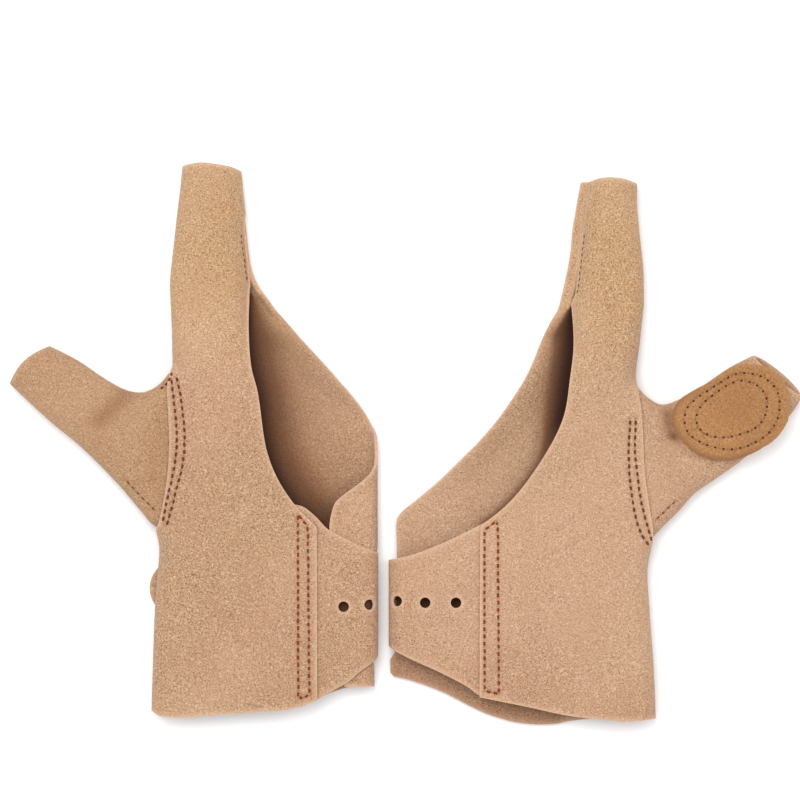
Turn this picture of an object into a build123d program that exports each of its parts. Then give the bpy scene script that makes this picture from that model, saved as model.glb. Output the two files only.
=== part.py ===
from build123d import *
import math
import os

# A pair of soft leather hand grips lying side by side, palm side down, in millimetres.
# Each grip covers the index finger, the thumb and the wrist. It is a folded main panel, a thumb sleeve lapped under
# it, and a wrist strap that is stitched under the panel's edge, turns round the side of the wrist and runs back
# under the grip to a stud. +X points to the right-hand grip's thumb, +Y to the fingertips, +Z up.

# ---- driving dimensions
SUEDE = 1.2                # thickness of the suede
FRONT_Z = 12.6             # underside of the upper wall
BACK_Z = 1.7               # underside of the lower wall over the strap
LAP = 0.1                  # play between lapped layers
RAMP_FROM, RAMP_LONG = 54.0, 12.0   # where the lower wall drops to the table, short of the finger sleeve
SLEEVE_ROUND = 2.6         # outer rounding of the finger sleeve's long edges
THUMB_Z = 3.0              # underside of the thumb sleeve
THUMB_ROUND = 2.4
STRAP_R = 6.25             # outside radius of the strap where it turns round the wrist
FLAP_R = 4.75              # outside radius of the lower wall's folded end
HOLE_R = 2.1               # strap holes
HOLE_PITCH = 12.6
HINGE_GAP = 1.05           # from the strap's turning line to its fixed part
TAIL_END_R = 11.6          # the strap's rounded tip
STITCH_LONG, STITCH_WIDE, STITCH_HIGH, STITCH_PITCH = 2.0, 0.6, 0.45, 2.9
PATCH_HIGH = 2.8
STUD_NECK_R, STUD_HEAD_R, STUD_SCREW_R, STUD_SCREW_HEAD_R = 1.0, 1.6, 0.55, 2.6
STUD_LOW = 0.1

LEFT_TURN_X = -17.3        # centre of the left strap's turn
LEFT_HINGE_X = -21.6       # where the left strap's free end folds open
LEFT_TIP = (-91.2, -58.0)
LEFT_STUD = (-31.2, -64.6)
RIGHT_TURN_X = -0.7
RIGHT_HINGE_X = 3.6
RIGHT_TIP = (57.6, -62.6)
RIGHT_STUD = (35.3, -63.8)

# ---- outlines in plan, each run from one corner of its piece to the next
LEFT_SLEEVE_RADIAL = [
    (-93.84, 62.2), (-93.72, 66.4), (-92.08, 81.4), (-90.92, 92.2), (-89.76, 101.4),
    (-88.84, 110.96),
]
LEFT_SLEEVE_TIP = [
    (-88.84, 110.96), (-82.4, 112.28), (-76.0, 111.72), (-70.24, 110.52), (-66.36, 108.92),
]
LEFT_SLEEVE_ULNAR = [
    (-66.36, 108.92), (-65.88, 102.6), (-64.72, 92.2), (-64.04, 81.4), (-63.16, 72.6),
    (-62.16, 62.2),
]
LEFT_OPENING_EDGE = [
    (-62.56, 61.96), (-62.88, 45.96), (-61.84, 30.68), (-59.32, 20.6), (-55.72, -2.6),
    (-51.04, -14.6), (-44.4, -24.6), (-41.08, -28.2), (-37.76, -31.4), (-35.76, -33.4),
]
LEFT_FRONT_HEM = [
    (-35.4, -102.6), (-41.16, -104.6), (-47.56, -106.2), (-70.48, -108.04), (-89.56, -109.4),
    (-98.52, -108.6), (-101.24, -106.8),
]
LEFT_RADIAL_LOW = [
    (-101.24, -106.8), (-100.76, -91.0), (-99.8, -65.64), (-98.64, -51.0), (-98.12, -41.8),
    (-99.36, -34.6),
]
LEFT_LAP_EDGE = [
    (-99.36, -34.6), (-97.6, -27.6), (-95.2, -14.6), (-94.16, -1.4), (-94.52, 11.0),
    (-94.84, 24.2), (-92.76, 31.0),
]
LEFT_RADIAL_HIGH = [
    (-92.76, 31.0), (-93.08, 45.4), (-93.84, 61.96),
]
LEFT_BACK_EDGE = [
    (-62.16, 61.96), (-58.96, 61.0), (-54.28, 55.8), (-49.56, 47.4), (-34.8, 31.8), (-24.6, 20.6),
    (-17.28, 11.8),
]
LEFT_BACK_HEM = [
    (-17.28, -96.2), (-26.36, -98.6), (-35.56, -102.2), (-41.16, -105.2), (-47.56, -106.2),
    (-70.48, -108.04), (-89.56, -109.4), (-98.52, -108.6), (-101.24, -106.8),
]
LEFT_STRAP_PLAN = [
    (-45.16, -24.2), (-41.16, -25.2), (-35.8, -29.4), (-31.16, -34.2), (-25.56, -37.16),
    (-17.96, -41.0), (-9.96, -44.0), (-9.96, -83.0), (-12.76, -85.4), (-23.28, -95.8),
    (-25.96, -97.0), (-30.36, -99.4), (-35.4, -102.2), (-45.16, -105.0),
]
LEFT_FLAP_PLAN = [
    (-9.96, -2.6), (-15.64, -14.6), (-26.84, -22.2), (-29.4, -27.0), (-30.76, -34.2),
    (-30.76, -86.6), (-24.36, -97.0), (-9.96, -97.0),
]
LEFT_THUMB_UPPER = [
    (-142.96, 38.6), (-131.36, 32.6), (-119.64, 24.72), (-111.4, 20.6), (-105.2, 19.92),
    (-99.0, 22.68), (-92.96, 29.4),
]
LEFT_THUMB_LAP = [
    (-92.96, 29.4), (-89.96, 21.4), (-88.36, 11.4), (-87.56, -0.6), (-88.76, -15.4),
    (-92.36, -24.6), (-95.96, -33.4),
]
LEFT_THUMB_LOWER = [
    (-100.36, -32.44), (-105.96, -26.2), (-114.84, -15.8), (-130.0, -0.6), (-141.68, 9.0),
    (-158.24, 24.4),
]
LEFT_COLUMN = [
    (-43.16, -28.2), (-39.16, -33.0), (-38.56, -100.6), (-42.96, -102.2),
]
LEFT_ROW_1 = [
    (-93.64, 26.0), (-92.68, 17.8), (-91.56, 7.0), (-91.56, -2.8), (-93.16, -13.0),
    (-95.32, -22.2), (-96.96, -31.4),
]
LEFT_ROW_2 = [
    (-91.56, 27.0), (-89.96, 19.4), (-88.76, 9.6), (-88.28, 0.6), (-89.32, -9.8), (-91.72, -18.6),
    (-93.56, -26.2), (-95.56, -33.0),
]
LEFT_INDEX_SEAM = [
    (-67.88, 77.0), (-67.36, 72.6), (-66.68, 67.8), (-66.12, 63.8),
]
LEFT_THUMB_SEAM = [
    (-111.96, -14.6), (-105.56, -21.4), (-99.96, -27.0),
]
RIGHT_SLEEVE_RADIAL = [
    (94.68, 56.2), (94.44, 69.2), (93.04, 83.0), (91.96, 95.8), (92.0, 103.92),
]
RIGHT_SLEEVE_TIP = [
    (92.0, 103.92), (87.16, 105.72), (82.04, 106.36), (77.96, 105.96), (74.4, 104.84),
    (70.44, 104.44),
]
RIGHT_SLEEVE_ULNAR = [
    (70.44, 104.44), (68.84, 98.2), (66.84, 79.8), (64.84, 66.6), (62.04, 56.2),
]
RIGHT_OPENING_EDGE = [
    (66.44, 55.96), (67.08, 45.4), (67.0, 37.0), (65.72, 26.2), (63.56, 12.4), (59.24, 1.8),
    (47.04, -17.0), (38.6, -26.2), (29.8, -33.0),
]
RIGHT_FRONT_HEM = [
    (29.4, -101.24), (37.84, -103.0), (50.84, -105.68), (63.12, -108.36), (73.8, -109.8),
    (89.12, -111.0), (99.44, -110.0),
]
RIGHT_RADIAL_LOW = [
    (99.44, -110.0), (98.68, -91.0), (96.76, -64.2), (96.12, -50.6), (97.84, -40.6),
]
RIGHT_LAP_EDGE = [
    (97.84, -40.6), (98.6, -35.6), (97.44, -27.8), (95.2, -12.0), (93.64, 13.4), (91.72, 23.8),
]
RIGHT_RADIAL_HIGH = [
    (91.72, 23.8), (91.48, 28.6), (92.76, 38.2), (94.68, 55.96),
]
RIGHT_BACK_EDGE = [
    (62.04, 55.96), (57.64, 47.4), (56.04, 40.2), (49.64, 26.2), (41.08, 13.4), (32.44, 3.8),
    (26.04, -2.6), (14.84, -14.6), (-2.16, -28.6),
]
RIGHT_BACK_HEM = [
    (-5.76, -91.0), (-3.56, -93.4), (8.84, -96.2), (20.24, -101.0), (31.64, -106.44),
    (43.24, -110.2), (54.68, -112.32), (63.12, -111.8), (73.8, -110.4), (89.12, -111.0),
    (99.44, -110.0),
]
RIGHT_STRAP_PLAN = [
    (-7.96, -47.0), (-4.76, -46.2), (4.84, -43.68), (16.44, -39.0), (24.04, -35.28), (30.2, -32.2),
    (38.84, -27.4), (38.84, -102.2), (30.2, -101.0), (24.04, -96.88), (12.6, -91.0), (1.12, -85.8),
    (-7.96, -80.0),
]
RIGHT_THUMB_UPPER = [
    (91.88, 22.6), (96.84, 17.6), (102.16, 15.0), (108.44, 16.6), (119.64, 23.0), (129.64, 29.8),
    (139.24, 34.68),
]
RIGHT_THUMB_LOWER = [
    (158.04, 19.0), (153.24, 11.6), (134.04, -6.2), (123.92, -13.4), (114.36, -20.2),
    (109.88, -25.4), (102.84, -32.4), (98.84, -36.6),
]
RIGHT_THUMB_LAP = [
    (95.64, -39.0), (93.24, -33.0), (90.44, -23.4), (88.44, -12.0), (86.84, -0.6), (87.44, 11.4),
    (91.88, 22.6),
]
RIGHT_COLUMN = [
    (31.36, -34.6), (36.64, -30.6), (37.08, -100.2), (31.36, -98.6),
]
RIGHT_ROW_1 = [
    (89.6, 9.8), (88.84, -2.6), (89.48, -15.2), (91.36, -27.8), (93.64, -35.4), (97.16, -41.0),
]
RIGHT_ROW_2 = [
    (91.72, 9.8), (91.4, -2.6), (92.32, -12.0), (93.92, -23.4), (96.44, -33.0), (98.44, -39.4),
]
RIGHT_INDEX_SEAM = [
    (70.64, 75.6), (70.04, 67.16), (69.24, 61.8), (68.44, 57.8),
]
RIGHT_THUMB_SEAM = [
    (108.04, -22.6), (99.64, -30.6),
]
PATCH_EDGE = [
    (106.48, 10.16), (107.08, 7.24), (109.12, 3.12), (112.64, -1.0), (116.76, -3.92),
    (122.04, -5.76), (126.72, -6.36), (131.44, -5.96), (136.16, -4.52), (141.4, -1.88),
    (146.72, 1.64), (150.76, 6.64), (152.56, 11.36), (152.84, 16.04), (151.96, 20.72),
    (149.64, 25.44), (146.12, 28.96), (142.0, 30.72), (137.28, 31.44), (132.6, 31.12),
    (128.8, 29.44), (125.56, 27.48), (120.84, 24.24), (115.0, 21.0), (109.72, 17.48),
    (107.4, 14.28),
]
PATCH_OUTER_ROW = [
    (110.92, 9.88), (111.36, 6.96), (112.56, 4.12), (115.04, 1.96), (118.12, 0.2), (121.08, -1.0),
    (124.72, -1.76), (127.76, -2.24), (131.88, -2.0), (135.4, -1.28), (138.6, 0.2), (141.6, 1.64),
    (144.36, 3.92), (146.56, 6.36), (148.24, 9.88), (148.96, 12.8), (149.08, 16.2), (148.6, 19.72),
    (147.0, 22.8), (144.36, 25.16), (141.44, 27.0), (138.32, 27.8), (134.56, 28.16),
    (131.64, 27.8), (129.12, 26.68), (125.4, 24.32), (121.68, 21.96), (116.76, 18.8),
    (113.24, 15.76), (111.52, 13.0),
]
PATCH_INNER_ROW = [
    (115.6, 9.88), (116.12, 6.96), (118.12, 4.64), (120.72, 3.28), (124.28, 2.56), (127.92, 2.56),
    (131.56, 3.16), (135.2, 4.32), (138.72, 5.88), (141.36, 7.84), (143.08, 10.76),
    (143.96, 14.28), (143.96, 17.52), (143.12, 20.44), (140.64, 22.8), (137.44, 24.56),
    (134.4, 25.32), (131.48, 24.84), (127.64, 22.96), (123.24, 20.04), (119.08, 16.64),
    (116.44, 13.12),
]


def stitches(points, closed=False):
    """Evenly spaced places along a line of points, each turned along the line."""
    pts = points + points[:1] if closed else points
    runs = [(a, b, math.dist(a, b)) for a, b in zip(pts, pts[1:])]
    total = sum(r[2] for r in runs)
    count = max(1, int(total / STITCH_PITCH))
    places = []
    for i in range(count):
        at = (i + 0.5) * total / count
        for a, b, long in runs:
            if at <= long:
                t = at / long
                angle = math.degrees(math.atan2(b[1] - a[1], b[0] - a[0]))
                places.append(Location((a[0] + (b[0] - a[0]) * t, a[1] + (b[1] - a[1]) * t, 0), (0, 0, angle)))
                break
            at -= long
    return places


def moved(points, dx, dy=0.0):
    return [(x + dx, y + dy) for x, y in points]


Z_TOP = FRONT_Z + SUEDE
THUMB_TOP = FRONT_Z - LAP


# ======================================================================== left grip

with BuildPart() as left_front_panel:
    # upper wall: finger sleeve's root, hand cut-out, hem and the edge that laps over the thumb sleeve
    with BuildSketch(Plane.XY.offset(FRONT_Z)):
        with BuildLine():
            Line(LEFT_RADIAL_HIGH[-1], LEFT_OPENING_EDGE[0])
            Spline(*LEFT_OPENING_EDGE)
            Line(LEFT_OPENING_EDGE[-1], LEFT_FRONT_HEM[0])
            Spline(*LEFT_FRONT_HEM)
            Spline(*LEFT_RADIAL_LOW)
            Spline(*LEFT_LAP_EDGE)
            Spline(*LEFT_RADIAL_HIGH)
        make_face()
    extrude(amount=SUEDE)
left_front_panel.part.label = "left_front_panel"

with BuildPart() as left_back_panel:
    # lower wall: it drops to the table short of the finger sleeve
    with BuildSketch(Plane.YZ.offset(-110)):
        with BuildLine():
            Polyline(
                (-115, BACK_Z), (RAMP_FROM - RAMP_LONG, BACK_Z), (RAMP_FROM, 0), (70, 0), (70, SUEDE),
                (RAMP_FROM, SUEDE), (RAMP_FROM - RAMP_LONG, BACK_Z + SUEDE), (-115, BACK_Z + SUEDE), close=True)
        make_face()
    extrude(amount=110)
    with BuildSketch(Plane.XY.offset(-1)):
        with BuildLine():
            Line(LEFT_RADIAL_HIGH[-1], LEFT_BACK_EDGE[0])
            Spline(*LEFT_BACK_EDGE)
            Line(LEFT_BACK_EDGE[-1], LEFT_BACK_HEM[0])
            Spline(*LEFT_BACK_HEM)
            Spline(*LEFT_RADIAL_LOW)
            Spline(*LEFT_LAP_EDGE)
            Spline(*LEFT_RADIAL_HIGH)
        make_face()
    extrude(amount=8, mode=Mode.INTERSECT)
    with BuildSketch(Plane.XY.offset(-1)):
        with Locations(LEFT_STUD):
            Circle(STUD_SCREW_R + 0.05)
    extrude(amount=8, mode=Mode.SUBTRACT)
left_back_panel.part.label = "left_back_panel"

with BuildPart() as left_back_flap:
    # the lower wall's end, folded up and back over the wrist inside the strap
    flap_mid = BACK_Z + FLAP_R
    with BuildSketch(Plane.XZ.offset(120)):
        with BuildLine():
            Line((LEFT_TURN_X, BACK_Z), (LEFT_TURN_X, BACK_Z + SUEDE))
            CenterArc((LEFT_TURN_X, flap_mid), FLAP_R - SUEDE, -90, 180)
            Polyline((LEFT_TURN_X, flap_mid + FLAP_R - SUEDE), (-32, flap_mid + FLAP_R - SUEDE),
                     (-32, flap_mid + FLAP_R), (LEFT_TURN_X, flap_mid + FLAP_R))
            CenterArc((LEFT_TURN_X, flap_mid), FLAP_R, -90, 180)
        make_face()
    extrude(amount=-130)
    with BuildSketch():
        with BuildLine():
            Polyline(*LEFT_FLAP_PLAN, close=True)
        make_face()
    extrude(amount=14, mode=Mode.INTERSECT)
left_back_flap.part.label = "left_back_flap"

with BuildPart() as left_radial_fold:
    # the main panel's folded side, above and below the thumb
    with BuildSketch(Plane.XY.offset(BACK_Z + SUEDE)):
        with BuildLine():
            Spline(*LEFT_RADIAL_LOW)
            Line(LEFT_RADIAL_LOW[-1], moved(LEFT_RADIAL_LOW, SUEDE)[-1])
            Spline(*moved(LEFT_RADIAL_LOW, SUEDE))
            Line(moved(LEFT_RADIAL_LOW, SUEDE)[0], LEFT_RADIAL_LOW[0])
        make_face()
    extrude(amount=FRONT_Z - BACK_Z - SUEDE)
    with BuildSketch(Plane.XY.offset(BACK_Z + SUEDE)):
        with BuildLine():
            Spline(*LEFT_RADIAL_HIGH)
            Line(LEFT_RADIAL_HIGH[-1], moved(LEFT_RADIAL_HIGH, SUEDE)[-1])
            Spline(*moved(LEFT_RADIAL_HIGH, SUEDE))
            Line(moved(LEFT_RADIAL_HIGH, SUEDE)[0], LEFT_RADIAL_HIGH[0])
        make_face()
    extrude(amount=FRONT_Z - BACK_Z - SUEDE)
left_radial_fold.part.label = "left_radial_fold"

with BuildPart() as left_sleeve_bore:
    with BuildSketch(Plane.XY.offset(SUEDE)):
        with BuildLine():
            Spline(*moved(LEFT_SLEEVE_RADIAL, SUEDE))
            Polyline(moved(LEFT_SLEEVE_RADIAL, SUEDE)[-1], (-87.4, 116), (-67.3, 116),
                     moved(LEFT_SLEEVE_ULNAR, -SUEDE)[0])
            Spline(*moved(LEFT_SLEEVE_ULNAR, -SUEDE))
            Polyline(moved(LEFT_SLEEVE_ULNAR, -SUEDE)[-1], (-63.36, 58), (-92.64, 58),
                     moved(LEFT_SLEEVE_RADIAL, SUEDE)[0])
        make_face()
    extrude(amount=Z_TOP - 2 * SUEDE)

with BuildPart() as left_index_sleeve:
    # open-ended tube for the index finger
    with BuildSketch():
        with BuildLine():
            Spline(*LEFT_SLEEVE_RADIAL)
            Spline(*LEFT_SLEEVE_TIP)
            Spline(*LEFT_SLEEVE_ULNAR)
            Line(LEFT_SLEEVE_ULNAR[-1], LEFT_SLEEVE_RADIAL[0])
        make_face()
    extrude(amount=Z_TOP)
    fillet(left_index_sleeve.edges().filter_by(lambda e: e.length > 40), radius=SLEEVE_ROUND)
    add(left_sleeve_bore.part, mode=Mode.SUBTRACT)
left_index_sleeve.part.label = "left_index_sleeve"

with BuildPart() as left_thumb_bore:
    with BuildSketch(Plane.XY.offset(THUMB_Z + SUEDE)):
        with BuildLine():
            Polyline(
                (-148.0, 39.8), (-131.9, 31.5), (-120.2, 23.6), (-111.8, 19.4), (-105.0, 18.7), (-98.4, 21.5),
                (-93.6, 27.0), (-91.5, 36.0), (-80, 36), (-80, -40), (-94.0, -40), (-97.2, -33.2), (-99.6, -31.5),
                (-105.0, -25.4), (-114.0, -14.9), (-129.2, 0.3), (-140.8, 9.9), (-163.0, 30.5), close=True)
        make_face()
    extrude(amount=THUMB_TOP - THUMB_Z - 2 * SUEDE)

with BuildPart() as left_thumb_sleeve:
    # open-ended tube for the thumb, its root lapped under the upper wall and over the lower wall
    with BuildSketch(Plane.XY.offset(THUMB_Z)):
        with BuildLine():
            Spline(*LEFT_THUMB_UPPER)
            Spline(*LEFT_THUMB_LAP)
            Line(LEFT_THUMB_LAP[-1], LEFT_THUMB_LOWER[0])
            Spline(*LEFT_THUMB_LOWER)
            Line(LEFT_THUMB_LOWER[-1], LEFT_THUMB_UPPER[0])
        make_face()
    extrude(amount=THUMB_TOP - THUMB_Z)
    add(left_thumb_bore.part, mode=Mode.SUBTRACT)
left_thumb_sleeve.part.label = "left_thumb_sleeve"

with BuildPart() as left_strap_root:
    # the strap's fixed part: under the upper wall's edge, and round the side of the wrist
    with BuildSketch(Plane.XZ.offset(120)):
        with BuildLine():
            Polyline((LEFT_TURN_X, 0), (LEFT_HINGE_X + HINGE_GAP, 0), (LEFT_HINGE_X + HINGE_GAP, SUEDE),
                     (LEFT_TURN_X, SUEDE))
            CenterArc((LEFT_TURN_X, STRAP_R), STRAP_R - SUEDE, -90, 180)
            Polyline((LEFT_TURN_X, 2 * STRAP_R - SUEDE), (-46, 2 * STRAP_R - SUEDE), (-46, 2 * STRAP_R),
                     (LEFT_TURN_X, 2 * STRAP_R))
            CenterArc((LEFT_TURN_X, STRAP_R), STRAP_R, -90, 180)
        make_face()
    extrude(amount=-130)
    with BuildSketch(Plane.XY.offset(-1)):
        with BuildLine():
            Polyline(*LEFT_STRAP_PLAN, close=True)
        make_face()
    extrude(amount=16, mode=Mode.INTERSECT)
    with BuildSketch(Plane.XY.offset(9)):
        with Locations((-24.9, -65.2), (-14.6, -64.4)):
            Circle(HOLE_R)
    extrude(amount=6, mode=Mode.SUBTRACT)
left_strap_root.part.label = "left_strap_root"

with BuildPart() as left_strap_tail:
    # the strap's free end, with its row of holes
    with BuildSketch():
        with BuildLine():
            Line((LEFT_HINGE_X - 0.1, -84.5), (LEFT_HINGE_X - 0.1, -43.5))
            Line((LEFT_HINGE_X - 0.1, -43.5), (LEFT_TIP[0], LEFT_TIP[1] + TAIL_END_R))
            ThreePointArc((LEFT_TIP[0], LEFT_TIP[1] + TAIL_END_R), (LEFT_TIP[0] - TAIL_END_R, LEFT_TIP[1]),
                          (LEFT_TIP[0], LEFT_TIP[1] - TAIL_END_R))
            Line((LEFT_TIP[0], LEFT_TIP[1] - TAIL_END_R), (LEFT_HINGE_X - 0.1, -84.5))
        make_face()
        with Locations(*[(LEFT_STUD[0] - HOLE_PITCH * i, LEFT_STUD[1] + 0.6 * i) for i in range(5)]):
            Circle(HOLE_R, mode=Mode.SUBTRACT)
    extrude(amount=SUEDE)
left_strap_tail.part.label = "left_strap_tail"

with BuildPart() as left_stud:
    # collar stud on the lower wall's outer side: neck and head, with a blind hole for its screw
    with BuildSketch(Plane.XY.offset(STUD_LOW)):
        with Locations(LEFT_STUD):
            Circle(STUD_HEAD_R)
    extrude(amount=0.7)
    with BuildSketch(Plane.XY.offset(STUD_LOW + 0.7)):
        with Locations(LEFT_STUD):
            Circle(STUD_NECK_R)
    extrude(amount=BACK_Z - STUD_LOW - 0.7)
    with BuildSketch(Plane.XY.offset(0.5)):
        with Locations(LEFT_STUD):
            Circle(STUD_SCREW_R + 0.05)
    extrude(amount=3, mode=Mode.SUBTRACT)
left_stud.part.label = "left_stud"

with BuildPart() as left_stud_screw:
    with BuildSketch(Plane.XY.offset(BACK_Z + SUEDE)):
        with Locations(LEFT_STUD):
            Circle(STUD_SCREW_HEAD_R)
    extrude(amount=0.6)
    with BuildSketch(Plane.XY.offset(0.6)):
        with Locations(LEFT_STUD):
            Circle(STUD_SCREW_R)
    extrude(amount=BACK_Z + SUEDE - 0.6)
left_stud_screw.part.label = "left_stud_screw"

with BuildPart() as left_strap_thread:
    # the long narrow box of stitches that holds the strap under the upper wall
    with BuildSketch(Plane.XY.offset(Z_TOP)):
        with Locations(*stitches(LEFT_COLUMN, closed=True)):
            SlotOverall(STITCH_LONG, STITCH_WIDE)
    extrude(amount=STITCH_HIGH)
left_strap_thread.part.label = "left_strap_thread"

with BuildPart() as left_thumb_thread:
    # double row that holds the thumb sleeve
    with BuildSketch(Plane.XY.offset(Z_TOP)):
        with Locations(*stitches(LEFT_ROW_1), *stitches(LEFT_ROW_2)):
            SlotOverall(STITCH_LONG, STITCH_WIDE)
    extrude(amount=STITCH_HIGH)
left_thumb_thread.part.label = "left_thumb_thread"

with BuildPart() as left_index_seam:
    # seam that closes the finger sleeve
    with BuildSketch(Plane.XY.offset(Z_TOP)):
        with Locations(*stitches(LEFT_INDEX_SEAM)):
            SlotOverall(STITCH_LONG, STITCH_WIDE)
    extrude(amount=STITCH_HIGH)
left_index_seam.part.label = "left_index_seam"

with BuildPart() as left_thumb_seam:
    # seam that closes the thumb sleeve
    with BuildSketch(Plane.XY.offset(THUMB_TOP)):
        with Locations(*stitches(LEFT_THUMB_SEAM)):
            SlotOverall(STITCH_LONG, STITCH_WIDE)
    extrude(amount=STITCH_HIGH)
left_thumb_seam.part.label = "left_thumb_seam"


# ======================================================================== right grip

with BuildPart() as right_front_panel:
    with BuildSketch(Plane.XY.offset(FRONT_Z)):
        with BuildLine():
            Line(RIGHT_RADIAL_HIGH[-1], RIGHT_OPENING_EDGE[0])
            Spline(*RIGHT_OPENING_EDGE)
            Line(RIGHT_OPENING_EDGE[-1], RIGHT_FRONT_HEM[0])
            Spline(*RIGHT_FRONT_HEM)
            Spline(*RIGHT_RADIAL_LOW)
            Spline(*RIGHT_LAP_EDGE)
            Spline(*RIGHT_RADIAL_HIGH)
        make_face()
    extrude(amount=SUEDE)
right_front_panel.part.label = "right_front_panel"

with BuildPart() as right_back_panel:
    with BuildSketch(Plane.YZ.offset(-10)):
        with BuildLine():
            Polyline(
                (-115, BACK_Z), (RAMP_FROM - 6 - RAMP_LONG, BACK_Z), (RAMP_FROM - 6, 0), (70, 0), (70, SUEDE),
                (RAMP_FROM - 6, SUEDE), (RAMP_FROM - 6 - RAMP_LONG, BACK_Z + SUEDE), (-115, BACK_Z + SUEDE),
                close=True)
        make_face()
    extrude(amount=115)
    with BuildSketch(Plane.XY.offset(-1)):
        with BuildLine():
            Line(RIGHT_RADIAL_HIGH[-1], RIGHT_BACK_EDGE[0])
            Spline(*RIGHT_BACK_EDGE)
            Polyline(RIGHT_BACK_EDGE[-1], (-2.16, -84.6), (-5.76, -85.4), RIGHT_BACK_HEM[0])
            Spline(*RIGHT_BACK_HEM)
            Spline(*RIGHT_RADIAL_LOW)
            Spline(*RIGHT_LAP_EDGE)
            Spline(*RIGHT_RADIAL_HIGH)
        make_face()
    extrude(amount=8, mode=Mode.INTERSECT)
    with BuildSketch(Plane.XY.offset(-1)):
        with Locations(RIGHT_STUD):
            Circle(STUD_SCREW_R + 0.05)
    extrude(amount=8, mode=Mode.SUBTRACT)
right_back_panel.part.label = "right_back_panel"

with BuildPart() as right_radial_fold:
    with BuildSketch(Plane.XY.offset(BACK_Z + SUEDE)):
        with BuildLine():
            Spline(*RIGHT_RADIAL_LOW)
            Line(RIGHT_RADIAL_LOW[-1], moved(RIGHT_RADIAL_LOW, -SUEDE)[-1])
            Spline(*moved(RIGHT_RADIAL_LOW, -SUEDE))
            Line(moved(RIGHT_RADIAL_LOW, -SUEDE)[0], RIGHT_RADIAL_LOW[0])
        make_face()
    extrude(amount=FRONT_Z - BACK_Z - SUEDE)
    with BuildSketch(Plane.XY.offset(BACK_Z + SUEDE)):
        with BuildLine():
            Spline(*RIGHT_RADIAL_HIGH)
            Line(RIGHT_RADIAL_HIGH[-1], moved(RIGHT_RADIAL_HIGH, -SUEDE)[-1])
            Spline(*moved(RIGHT_RADIAL_HIGH, -SUEDE))
            Line(moved(RIGHT_RADIAL_HIGH, -SUEDE)[0], RIGHT_RADIAL_HIGH[0])
        make_face()
    extrude(amount=FRONT_Z - BACK_Z - SUEDE)
right_radial_fold.part.label = "right_radial_fold"

with BuildPart() as right_sleeve_bore:
    with BuildSketch(Plane.XY.offset(SUEDE)):
        with BuildLine():
            Spline(*moved(RIGHT_SLEEVE_RADIAL, -SUEDE))
            Polyline(moved(RIGHT_SLEEVE_RADIAL, -SUEDE)[-1], (90.8, 110), (72.2, 110),
                     moved(RIGHT_SLEEVE_ULNAR, SUEDE)[0])
            Spline(*moved(RIGHT_SLEEVE_ULNAR, SUEDE))
            Polyline(moved(RIGHT_SLEEVE_ULNAR, SUEDE)[-1], (63.24, 52), (93.48, 52),
                     moved(RIGHT_SLEEVE_RADIAL, -SUEDE)[0])
        make_face()
    extrude(amount=Z_TOP - 2 * SUEDE)

with BuildPart() as right_index_sleeve:
    with BuildSketch():
        with BuildLine():
            Spline(*RIGHT_SLEEVE_RADIAL)
            Spline(*RIGHT_SLEEVE_TIP)
            Spline(*RIGHT_SLEEVE_ULNAR)
            Line(RIGHT_SLEEVE_ULNAR[-1], RIGHT_SLEEVE_RADIAL[0])
        make_face()
    extrude(amount=Z_TOP)
    fillet(right_index_sleeve.edges().filter_by(lambda e: e.length > 40), radius=SLEEVE_ROUND)
    add(right_sleeve_bore.part, mode=Mode.SUBTRACT)
right_index_sleeve.part.label = "right_index_sleeve"

with BuildPart() as right_thumb_bore:
    with BuildSketch(Plane.XY.offset(THUMB_Z + SUEDE)):
        with BuildLine():
            Polyline(
                (162.0, 27.4), (152.2, 12.3), (133.2, -5.3), (123.2, -12.4), (113.6, -19.2),
                (109.1, -24.4), (102.0, -31.5), (97.6, -35.6), (95.0, -44), (80, -44), (80, 33), (90.0, 33),
                (91.4, 21.6), (96.4, 16.4), (102.3, 13.6), (109.0, 15.5), (120.3, 21.9), (130.2, 28.6),
                (145.0, 36.1), close=True)
        make_face()
    extrude(amount=THUMB_TOP - THUMB_Z - 2 * SUEDE)

with BuildPart() as right_thumb_sleeve:
    with BuildSketch(Plane.XY.offset(THUMB_Z)):
        with BuildLine():
            Spline(*RIGHT_THUMB_UPPER)
            Line(RIGHT_THUMB_UPPER[-1], RIGHT_THUMB_LOWER[0])
            Spline(*RIGHT_THUMB_LOWER)
            Line(RIGHT_THUMB_LOWER[-1], RIGHT_THUMB_LAP[0])
            Spline(*RIGHT_THUMB_LAP)
        make_face()
    extrude(amount=THUMB_TOP - THUMB_Z)
    add(right_thumb_bore.part, mode=Mode.SUBTRACT)
right_thumb_sleeve.part.label = "right_thumb_sleeve"

with BuildPart() as right_strap_root:
    with BuildSketch(Plane.XZ.offset(120)):
        with BuildLine():
            Polyline((RIGHT_TURN_X, 0), (RIGHT_HINGE_X - HINGE_GAP, 0), (RIGHT_HINGE_X - HINGE_GAP, SUEDE),
                     (RIGHT_TURN_X, SUEDE))
            CenterArc((RIGHT_TURN_X, STRAP_R), STRAP_R - SUEDE, 90, 180)
            Polyline((RIGHT_TURN_X, 2 * STRAP_R - SUEDE), (39.5, 2 * STRAP_R - SUEDE), (39.5, 2 * STRAP_R),
                     (RIGHT_TURN_X, 2 * STRAP_R))
            CenterArc((RIGHT_TURN_X, STRAP_R), STRAP_R, 90, 180)
        make_face()
    extrude(amount=-130)
    with BuildSketch(Plane.XY.offset(-1)):
        with BuildLine():
            Polyline(*RIGHT_STRAP_PLAN, close=True)
        make_face()
    extrude(amount=16, mode=Mode.INTERSECT)
    with BuildSketch(Plane.XY.offset(9)):
        with Locations((20.0, -63.6), (7.7, -63.6), (-3.5, -63.0)):
            Circle(HOLE_R)
    extrude(amount=6, mode=Mode.SUBTRACT)
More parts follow.
